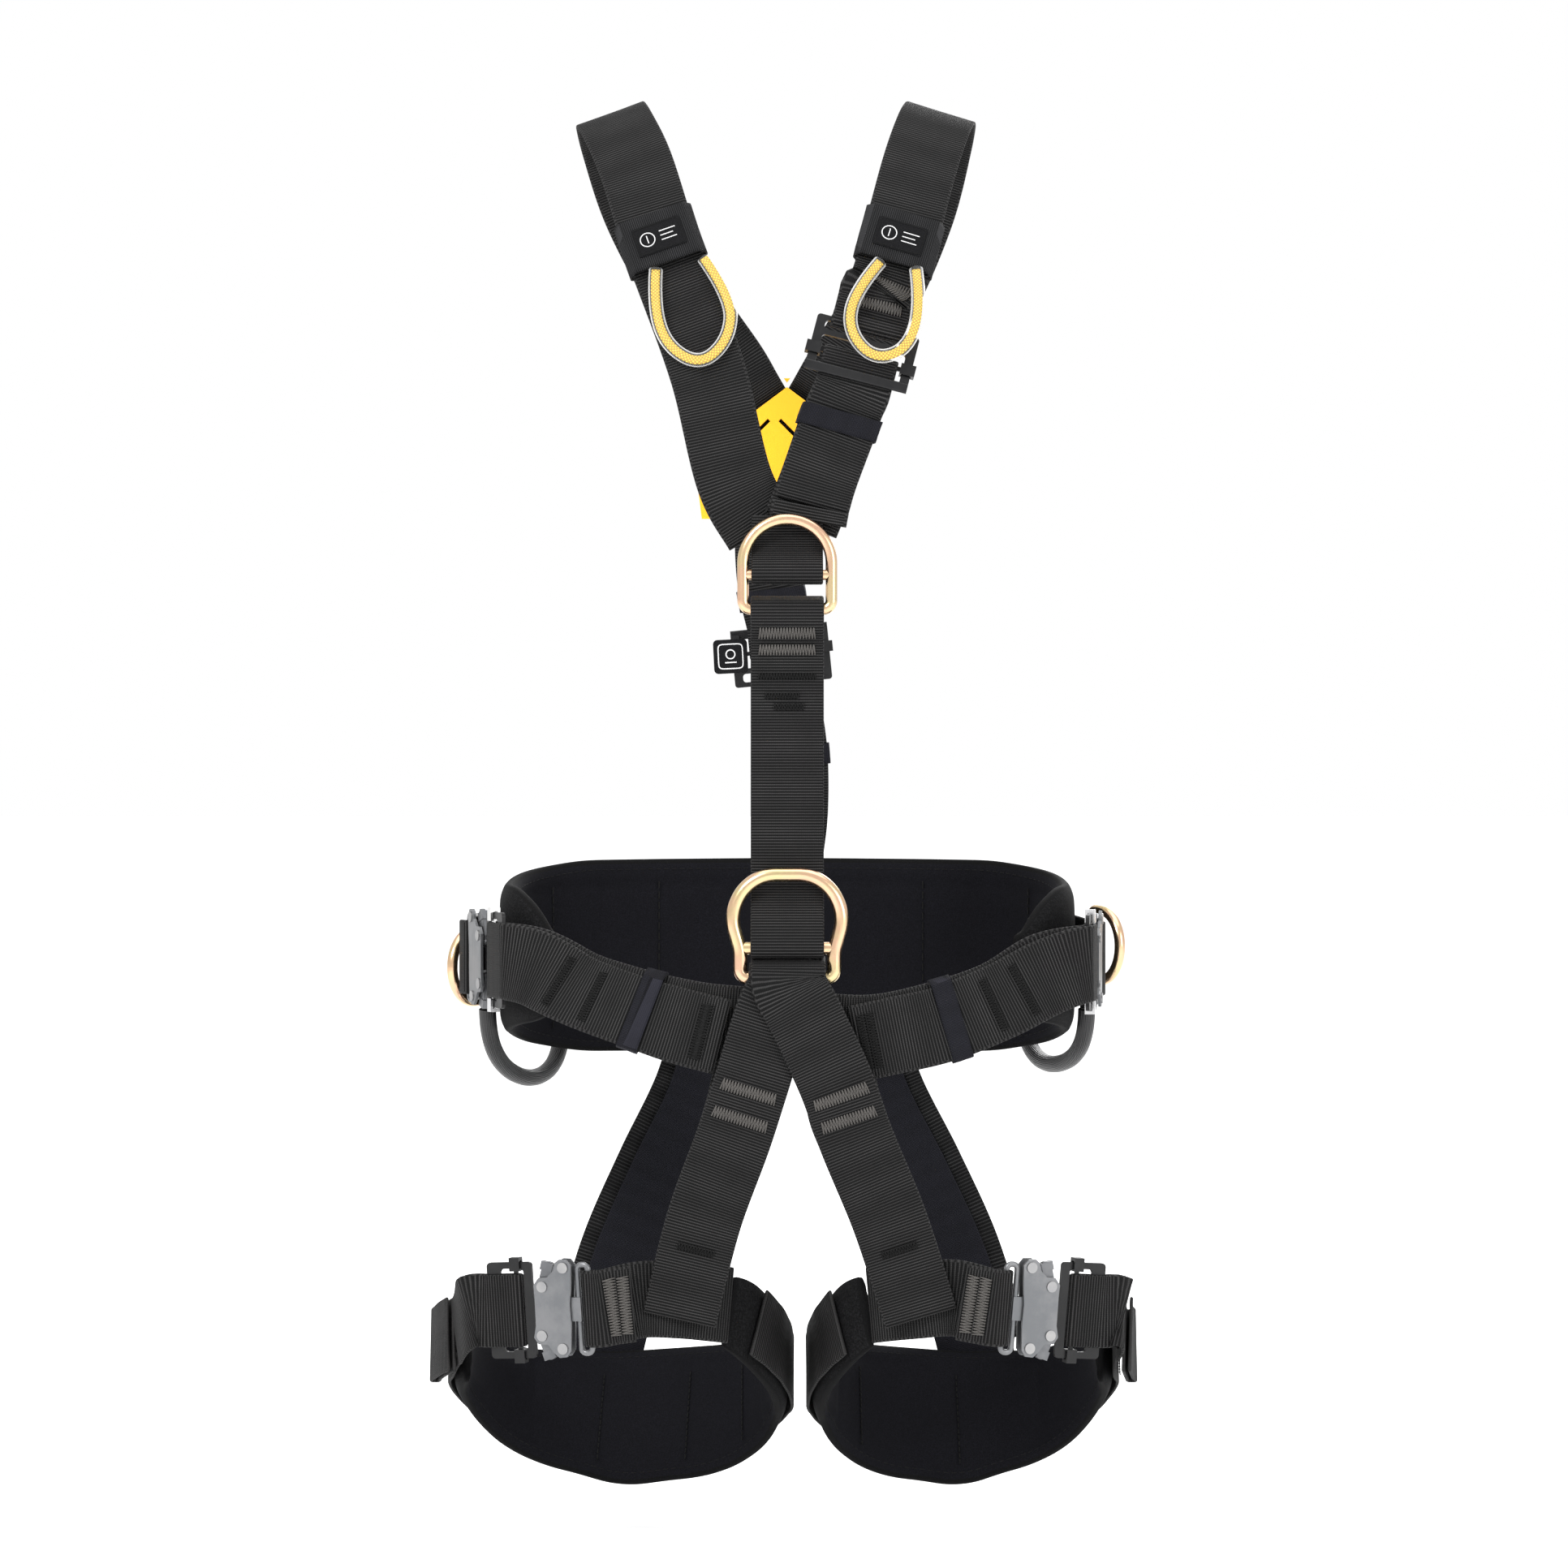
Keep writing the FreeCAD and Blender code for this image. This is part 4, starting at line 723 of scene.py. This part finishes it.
def shoulders():
    left = [((-14.6, -103.1, 258), (1, 0, 0.25)), ((-29.6, -102.4, 284), (1, 0, 0.3)),
            ((-47, -97, 352), (1, 0, 0.33)), ((-75.6, -74, 432), (1, 0, 0.35)),
            ((-92, -48, 484), (1, 0.05, 0.4)), ((-104, -22, 511), (1, 0.2, 0.42)),
            ((-108.5, 2, 519), (1, 0.25, 0.4)), ((-106, 28, 507), (1, 0.15, 0.4)),
            ((-93, 58, 468), (1, 0.1, 0.45)), ((-64, 79, 415), (0.9, 0, 0.55)),
            ((-34, 85.5, 372), (0.8, 0, 0.6)), ((-26.2, 86.6, 358.5), (0.8, 0, 0.6)),
            ((-18.4, 94.6, 346), (0.8, 0, 0.6)), ((-8, 95.2, 330), (0.8, 0, 0.6))]
    attach(strap("shoulder_web_left", left), "shoulder_strap_left")
    rail = wrap(ADJUSTER, RAIL_U, RAIL_FOLD_R, 1, 26, 5, 1, 0.7)[::-1]
    right = rail + [((58.5, -82.5, 405), (1, 0, -0.3)), ((66.6, -74, 432), (1, 0, -0.3)),
                    ((80.5, -48, 484), (1, -0.05, -0.33)), ((90, -22, 512), (1, -0.15, -0.34)),
                    ((94.5, 2, 520), (1, -0.2, -0.34)), ((93, 28, 508), (1, -0.12, -0.36)),
                    ((83, 58, 468), (1, -0.1, -0.42)), ((60, 79, 415), (0.9, 0, -0.5)),
                    ((34, 85.5, 372), (0.8, 0, -0.6)), ((26.2, 86.6, 358.5), (0.8, 0, -0.6)),
                    ((18.4, 97.6, 346), (0.8, 0, -0.6)), ((13, 98.6, 337.5), (0.8, 0, -0.6)),
                    ((7, 98.6, 328), (0.8, 0, -0.6))]
    attach(strap("shoulder_web_right", right), "shoulder_strap_right")
    lean = (1, 0, -0.26)
    main = plain([(8, -105.6, 262), (16.8, -105.2, 284), (30, -99.4, 322), (33.8, -98.8, 331.5)], lean)
    tail = plain([(34.2, -104.2, 331.5), (31, -103.8, 322), (18.5, -108.3, 288), (14.2, -109.6, 273)], lean)
    lower = main + wrap(ADJUSTER, BAR_FOLD_U, FOLD_R, -1, 19, 19, 1, 0.74) + tail
    attach(strap("shoulder_web_lower", lower), "shoulder_strap_lower")
    roll = plain([(13.6, -112.4, 272), (12.8, -112.4, 268), (12, -112.4, 263.5)], lean)
    attach(strap("shoulder_roll", roll, width=46, thick=2.6, step=1.2))
    fold = [(0, 111.3, 303), (0, 111.3, 314)] + bend(106.2, 322, 5.1, 0, 180) + [(0, 101.1, 313)]
    lean = (1, 0, 0.1)
    upper = [((-5, 99.6, 303), (1, 0, 0.08))]
    upper += plain([(-12, 96.8, 285), (-12.4, 97.0, 245), (-9.2, 98.4, 225)], lean)
    upper += wrap(SPINE, BAR_FOLD_U, FOLD_R, -1, 16, 16, 1)
    upper += plain([(-8.6, 104.8, 225), (-11, 102.6, 240), (-12.4, 101.8, 257)], lean)
    attach(strap("spine_web", plain(fold) + upper, width=40), "spine_strap")
    lower = [((2.6, 105.4, 138), lean)] + wrap(SPINE, RAIL_U, RAIL_FOLD_R, 1, 20, 10, -1)
    lower += [((3, 100.6, 150), lean), ((6, 101.6, 126), (1, 0, 0.08))]
    lower += plain([(6, 110, 88), (3, 118.2, 62), (0, 122.6, 34), (0, 122.8, -14)])
    attach(strap("spine_web_low", lower, width=40))


def legs():
    for side, spread, back_out in (("left", 2.0, 17.5), ("right", 0.0, 20.5)):
        route = []
        for d in range(-126, 105, 10):
            out, up = leg_frame(side, d)
            route.append((leg_point(side, d) + out * (LEG_PAD_T / 2 + 1.4 + WEB_T / 2), up))
        outer = 1 if side == "left" else -1
        fold = wrap(BUCKLES["leg_" + side], BAR_U, FOLD_R, -1, 30, 30, -outer, 0.6)
        route.append(((Vector(route[-1][0]) + Vector(fold[0][0])) * 0.5 + out * spread, up + V(0, 0, 1)))
        out, up = leg_frame(side, 121)
        back = leg_point(side, 121.5) + out * back_out
        ob = attach(strap("leg_web_" + side, route + fold + [(back, up)], width=43))
        if side == "left":
            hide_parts("leg_pad_webbing")
        far = 0.0 if side == "left" else 1.0
        spans = ((117, 9.2 + 6.0 * far), (110, 9.0 + 2.0 * far), (103, 9.0), (97.5, 9.4))
        layers = []
        for lift_by, part in ((2.0, spans), (-2.0, spans[::-1])):
            for d, lift in part:
                out, up = leg_frame(side, d)
                layers.append((leg_point(side, d) + out * (LEG_PAD_T / 2 + WEB_T + lift + lift_by), up))
        attach(strap("leg_tail_web_" + side, layers, thick=2.0, step=1.5), "leg_tail_" + side)
        free = [(-90.8, -111.9, -196.4), (-100.5, -114.3, -197.4)]
        inner = [(-86, -105.2, -194.6), (-62, -101.4, -195.5), (-44, -95, -198), (-34, -88, -200)]
        if side == "right":
            free = [(102.4, -112.0, -195.4), (112.1, -114.2, -197.0)]
            inner = [(98, -105.6, -193.6), (76, -101.8, -195.5), (58, -95, -198), (49, -88, -200)]
        fold = wrap(BUCKLES["leg_" + side], LINK_U, FOLD_R, 1, 7, 7, outer)
        route = plain(free, fold[0][1]) + fold + plain(inner, (0, 0.1, 1))
        ob = attach(strap("leg_tab_" + side, route))
        if side == "left":
            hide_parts("leg_front_tabs")
    for side, sign, flare in (("left", -1, 1.0), ("right", 1, 1.04)):
        places = [(40, 119.5, -48, 0.55), (52, 112, -90, 0.6), (76, 104, -140, 0.6), (98, 99, -190, 0.5),
                  (112, 100.5, -236, 0.2), (116, 99.6, -254, 0.1), (117, 93.6, -265, 0.1)]
        band = [((sign * x * flare, y, z), (sign, 0, lean)) for x, y, z, lean in places]
        web = [((x + sign * 17, y + 4.5, z + 9), a) for (x, y, z), a in band[:-1]]
        ob = strap("rear_band_" + side, band, width=48, thick=1.8, mat=ELASTIC)
        attach(ob, "rear_riser_" + side)
        ob = strap("rear_web_" + side, web, width=30, thick=1.8, mat=GATHER, ripple=1.3)
        attach(ob)


waist()
chest()
risers()
shoulders()
legs()


# ------------------------------------------------------------------ keepers, sleeves, small sewn parts
def band_round(name, held, centre, along, length, gap, thick, mat, extra=(), node=None, rings=7):
    """Closed band that follows the outline of the strap it holds, ring by ring along its length."""
    centre, along = Vector(centre), Vector(along).normalized()
    sample = []
    for c, a, u in (row[1:] for row in STRAPS[held]):
        sample += [(p, a) for p in (c + a + u, c - a + u, c - a - u, c + a - u)]
    close = [a for p, a in sample if (p - centre).length < 40]
    side = sum((a if a.dot(sample[0][1]) > 0 else -a for a in close), Vector())
    side = (side - along * side.dot(along)).normalized()
    front = along.cross(side).normalized()
    if front.y > 0:
        front = -front
    count = 96
    verts, faces, uvs = [], [], []
    rings_in, rings_out = [], []
    for k in range(rings):
        t = -length / 2 + length * k / (rings - 1)
        flat = [((p - centre).dot(side), (p - centre).dot(front)) for p, a in sample
                if abs((p - centre).dot(along) - t) < 3.4 and (p - centre).length < 45]
        flat += extra
        inner, outer = [], []
        for j in range(count):
            a = TAU * j / count
            d = (math.cos(a), math.sin(a))
            p = max(flat, key=lambda q: q[0] * d[0] + q[1] * d[1])
            for ring, off in ((inner, gap), (outer, gap + thick)):
                x, y = p[0] + d[0] * off, p[1] + d[1] * off
                ring.append(centre + along * t + side * x + front * y)
        rings_in.append(inner)
        rings_out.append(outer)
    loops = rings_out + rings_in[::-1]
    for ring in loops:
        verts += ring
    total = len(loops)
    lengths = [0.0]
    for p, q in zip(rings_out[0], rings_out[0][1:] + rings_out[0][:1]):
        lengths.append(lengths[-1] + (q - p).length)
    for i in range(total):
        ii = (i + 1) % total
        for j in range(count):
            k = (j + 1) % count
            faces.append((i * count + j, ii * count + j, ii * count + k, i * count + k))
            s0, s1 = lengths[j], lengths[j + 1]
            t0, t1 = 0, 0.5
            if i < rings - 1:
                t0, t1 = length * (i / (rings - 1) - 0.5), length * ((i + 1) / (rings - 1) - 0.5)
            uvs.append(((s0, t0), (s0, t1), (s1, t1), (s1, t0)))
    return attach(mesh_object(name, verts, faces, mat, uvs=uvs), node)


KEEPERS = {
    "waist_left": ("waist_web", (-85, -114.0, -23.6), (1, -0.2, -0.3), 12.5, 0.3),
    "waist_right": ("waist_web", (96, -111.8, -29.2), (1, 0.19, 0.27), 12.5, 0.3),
    "shoulder": ("shoulder_web_lower", (30.6, -101.6, 322), (0.26, 0.08, 0.96), 12.5, 0.3),
    "spine_high": ("spine_web", (-9.4, 101.3, 227), (-0.11, -0.14, 1), 13, 0.5),
    "spine_low": ("spine_web_low", (6, 101.6, 127), (-0.09, -0.12, 1), 13, 0.5)}
for name, (held, centre, along, length, gap) in KEEPERS.items():
    node = "elastic_keepers" if name == "waist_left" else None
    band_round("keeper_" + name, held, centre, along, length, gap, 1.0, ELASTIC, node=node)
SLEEVES = {"left": ((-75.4, -73.5, 432), 0.35), "right": ((66.6, -73.4, 432), -0.3)}
for side, (centre, lean) in SLEEVES.items():
    node = "parking_sleeves" if side == "left" else None
    band_round("sleeve_" + side, "shoulder_web_" + side, centre, (-lean, 0.383, 1), 34, 0.5, 1.3, SLEEVE,
               [(-19, 5.6), (19, 5.6)], node, 13)


def plate_piece(name, centre, side, up, w, h, t, mat, radius, node=None):
    """Thin patch with rounded corners; gives back its side and up directions."""
    centre, side = Vector(centre), Vector(side).normalized()
    normal = side.cross(Vector(up)).normalized()
    up = normal.cross(side)
    outline = []
    for cx, cy, a0 in ((1, 1, 0), (-1, 1, 90), (-1, -1, 180), (1, -1, 270)):
        for k in range(5):
            a = math.radians(a0 + 22.5 * k)
            x, y = radius * math.cos(a), radius * math.sin(a)
            outline.append((cx * (w / 2 - radius) + x, cy * (h / 2 - radius) + y))
    n = len(outline)
    verts = []
    for depth, shrink in ((-t / 2, 1.0), (t * 0.25, 1.0), (t / 2, 0.96)):
        verts += [centre + side * (x * shrink) + up * (y * shrink) + normal * depth for x, y in outline]
    faces = [tuple(reversed(range(n))), tuple(range(2 * n, 3 * n))]
    for r in (0, n):
        faces += [(r + j, r + (j + 1) % n, r + n + (j + 1) % n, r + n + j) for j in range(n)]
    attach(mesh_object(name, verts, faces, mat, smooth=False), node)
    return side, up


def ring_line(centre, side, up, rx, ry, square=0.0, count=40):
    """Closed line of points, round or partly squared."""
    pts = []
    for k in range(count + 1):
        a = TAU * k / count
        c, s = math.cos(a), math.sin(a)
        e = 1 - square
        x, y = rx * math.copysign(abs(c) ** e, c), ry * math.copysign(abs(s) ** e, s)
        pts.append(Vector(centre) + side * x + up * y)
    return pts


LABEL = V(-33.3, -109.6, 184)
side, up = plate_piece("label_patch", LABEL, (1, 0, 0.05), (-0.05, 0, 1), 20, 20, 1.4, PATCH, 2.5,
                       "attachment_label")
face = LABEL + V(0, -1, 0) * 0.85
icon = [ring_line(face, side, up, 7.2, 7.2, 0.7), ring_line(face + up * 1.2, side, up, 2.6, 2.6),
        [face - side * 3.4 - up * 3.6, face + side * 3.4 - up * 3.6]]
threads("label_icon", icon, 0.42, THREAD_WHITE)
for name, (centre, lean) in SLEEVES.items():
    side, up = Vector((1, 0, lean)).normalized(), Vector((-lean, 0.383, 1)).normalized()
    front = side.cross(up).normalized()
    front = -front if front.y > 0 else front
    face = Vector(centre) + front * 7.9
    plate_piece("sleeve_patch_" + name, face, side, up, 30, 19, 0.9, PATCH, 1.5)
    top = face + front * 0.55
    badge = top - side * 7
    icon = [ring_line(badge, side, up, 4.4, 4.4), [badge - up * 2.6, badge + up * 2.6]]
    for near, far, level in ((1, 11, 3), (1, 9, 0), (1, 10.5, -3)):
        icon.append([top + side * near + up * level, top + side * far + up * level])
    threads("sleeve_icon_" + name, icon, 0.35, THREAD_WHITE)
    threads("sleeve_stitch_" + name, [ring_line(top, side, up, 13.9, 8.6, 0.85, 60)], 0.22, THREAD_BLACK)


def side_loops():
    r, turns = 4.8, 16
    for side, (x, y, z) in (("left", (-187.6, 16, -3)), ("right", (187.6, 14, 10))):
        inward = 1 if side == "left" else -1
        pts = [(x + inward * r, y + 15.5, z), (x + inward * r, y + 7, z)]
        for k in range(turns):
            a = -TAU * k / turns
            pts.append((x + inward * r * math.cos(a), y + r * math.sin(a), z))
        ob = strap("side_loop_" + side, plain(pts, Z), width=29, thick=1.9, mat=WEB_DARK)
        attach(ob, "side_ring_loops" if side == "left" else None)


side_loops()
Y = (0, 1, 0)
for i, (x, y, z) in enumerate([(-182.4, -18, -28), (-141, 97, -26), (182.4, -18, -28), (149, 94, -26)]):
    points = plain([(x, y, z), (x, y, z + 3.5), (x, y, z + 7.5)], Y)
    ob = strap("gear_tab_%d" % i, points, width=12, thick=7.6, mat=WEB_DARK, step=1.5)
    attach(ob, "gear_loop_tabs" if i == 0 else None)


# ------------------------------------------------------------------ cords
def cord(name, points, radius, mat, node, with_inner=False):
    """Round cord along a given route, with a flat braid inside where asked."""
    def curve(label, bevel):
        cu = bpy.data.curves.new(label, "CURVE")
        cu.dimensions, cu.bevel_depth = "3D", bevel * MM
        cu.bevel_resolution, cu.resolution_u = 6, 12
        sp = cu.splines.new("NURBS")
        sp.points.add(len(points) - 1)
        for p, q in zip(sp.points, points):
            p.co = (*(Vector(q) * MM), 1)
        sp.order_u = 3
        sp.use_endpoint_u = True
        ob = bpy.data.objects.new(label, cu)
        bpy.context.scene.collection.objects.link(ob)
        return ob
    ob = curve(name, radius)
    ob.data.materials.append(mat)
    attach(ob, node)
    inner = []
    if with_inner:
        probe = curve(name + "_line", 0)
        settled = probe.evaluated_get(bpy.context.evaluated_depsgraph_get())
        me = bpy.data.meshes.new_from_object(settled)
        line = [Vector(v.co) / MM for v in me.vertices]
        bpy.data.objects.remove(probe)
        facing = V(0, -1, 0)
        route = []
        for i, p in enumerate(line):
            t = (line[min(i + 1, len(line) - 1)] - line[max(i - 1, 0)]).normalized()
            route.append((p, t.cross(facing)))
        core = strap(name + "_core", route, width=5.2, thick=1.8, mat=BRAID, step=2, least=1)
        inner = [attach(core)]


cord("gear_tube_left",
     [(-182.4, -18, -28), (-182.4, -15, -45), (-175, 12, -66), (-160, 45, -76), (-147, 74, -70),
      (-142, 92, -50), (-141, 97, -26)], 5.25, TUBE, "gear_loop_left")
cord("gear_tube_right",
     [(182.4, -18, -28), (182.4, -15, -43), (177, 12, -60), (165, 45, -67), (155, 72, -62),
      (150, 90, -46), (149, 94, -26)], 5.25, TUBE, "gear_loop_right")
cord("parking_tube_left",
     [(-78, -84.5, 414), (-79, -94, 391), (-71, -101, 367), (-51, -104, 355.5), (-34.5, -102, 371),
      (-32.5, -94, 396), (-49.5, -86.5, 421)], 4.2, CLEAR, "parking_loop_left", True)
cord("parking_tube_right",
     [(55, -86.5, 418.5), (40, -98.5, 400), (35.5, -106, 377), (50, -111, 358.5), (70, -110.5, 363.5),
      (79, -101.5, 389), (76.5, -86, 414)], 4.2, CLEAR, "parking_loop_right", True)

# ------------------------------------------------------------------ stitching
grey, black = [], []


def tack(lines, name, point, direction=(0, -1, 0), **kw):
    s = nearest(name, point)
    lines.append(bartack(name, s, side_towards(name, s, direction), **kw))


GREY_TACKS = {
    "chest_web": [(0, -117, 199), (0, CHEST_Y - 0.6, 188)],
    "riser_web_left": [(-22.5, -125.2, -72), (-26.6, -123.4, -86)],
    "riser_web_right": [(32, -128, -73), (36, -125.8, -86.5)],
    "shoulder_web_right": [(60, -82.5, 404), (56, -87, 392)],
    "leg_tab_left": [(-103.5, -115, -197.5), (-95.5, -113, -197)],
    "leg_tab_right": [(114.5, -115, -197), (106.5, -113, -196.2)]}
for name, places in GREY_TACKS.items():
    for place in places:
        tack(grey, name, place, wide=34 if name.startswith("leg") else 33)
for place in ((0, 122.8, -8), (0, 122.8, 12), (2, 120, 54)):
    tack(grey, "spine_web_low", place, Y)
for z, wide, x in ((171.5, 34, 0), (161, 20, -3), (154, 18, 1)):
    tack(black, "chest_web", (0, CHEST_Y, z), wide=wide, long=3.4, shift=x)
tack(black, "riser_web_left", (-53, -111.8, -164), wide=22, long=4)
tack(black, "riser_web_right", (65, -113, -164), wide=22, long=4)
for place in ((-134, -105.5, -7), (-114, -111.5, -16), (-52, -120.4, -35), (-48, -120.9, -36.5),
              (140, -106.5, -12), (120, -110, -20), (50, -119.6, -41), (45, -120, -42)):
    tack(black, "waist_web", place, long=5.0)
for side, sign in (("left", -1), ("right", 1)):
    tack(black, "leg_web_" + side, leg_point(side, 96), leg_frame(side, 96)[0])
    tack(black, "leg_web_" + side, leg_point(side, 0), Y)
    tack(grey, "rear_band_" + side, (sign * 42, 118, -54), Y)
threads("bartacks_grey", grey, 0.42, THREAD)
threads("bartacks_black", black, 0.36, THREAD_BLACK)

# ------------------------------------------------------------------ hardware keeps its CAD shape
for name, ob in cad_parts.items():
    mat = None
    if name in ("sternal_ring", "ventral_ring", "dorsal_ring", "side_ring_left", "side_ring_right"):
        mat = RING
    elif name == "dorsal_plate":
        mat = YELLOW
    elif name.endswith("_buckle"):
        mat = PLATE
    elif name == "buckle_rivets":
        mat = RIVET
    elif "_lever_" in name:
        mat = LEVER
    elif name.endswith("_tongue") or name.endswith("_adjuster_frame"):
        mat = BLACK
    elif name.endswith("_bar"):
        mat = BAR if name.startswith("waist") else BLACK
    if mat:
        ob.data.materials.clear()
        ob.data.materials.append(mat)

# ------------------------------------------------------------------ floor, light, camera
floor_mat = Mat("floor_pale", (0.9, 0.9, 0.9), 0.9)
floor_mat.color(floor_mat.mix(floor_mat.noise(3), (0.93, 0.93, 0.93), (0.95, 0.95, 0.95)))
bpy.ops.mesh.primitive_plane_add(size=120, location=(0, 0, CAD_LOW.z - 0.03))
floor = bpy.context.object
floor.name = "floor"
floor.data.materials.append(floor_mat.m)
floor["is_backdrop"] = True


def lamp(kind, name, loc, target, size, power):
    li = bpy.data.lights.new(name, kind)
    li.energy = power
    if kind == "AREA":
        li.size = size
    else:
        li.angle = math.radians(size)
    ob = bpy.data.objects.new(name, li)
    bpy.context.scene.collection.objects.link(ob)
    ob.location = loc
    ob.rotation_euler = (Vector(target) - Vector(loc)).to_track_quat("-Z", "Y").to_euler()


lamp("AREA", "key", (-1.2, -1.8, 1.6), (0, 0, 0.1), 0.8, 46)
lamp("AREA", "fill", (1.7, -1.6, 0.6), (0, 0, 0.05), 1.2, 18)
lamp("AREA", "back", (0.6, 2.0, 1.2), (0, 0, 0.1), 1.2, 26)
lamp("SUN", "sky", (0.3, -0.3, 3), (0, 0, 0), 60, 1.5)
world = bpy.data.worlds.new("studio")
bpy.context.scene.world = world
world.use_nodes = True
world.node_tree.nodes["Background"].inputs[0].default_value = (1, 1, 1, 1)
world.node_tree.nodes["Background"].inputs[1].default_value = 1.0
bpy.context.scene.view_settings.view_transform = "Standard"

cam = bpy.data.cameras.new("camera")
cam.lens, cam.sensor_width = 100, 36
camera = bpy.data.objects.new("camera", cam)
bpy.context.scene.collection.objects.link(camera)
camera.location = (-0.0019, -2.670, 0.109)
camera.rotation_euler = (math.radians(90), 0, 0)
bpy.context.scene.camera = camera

low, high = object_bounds()
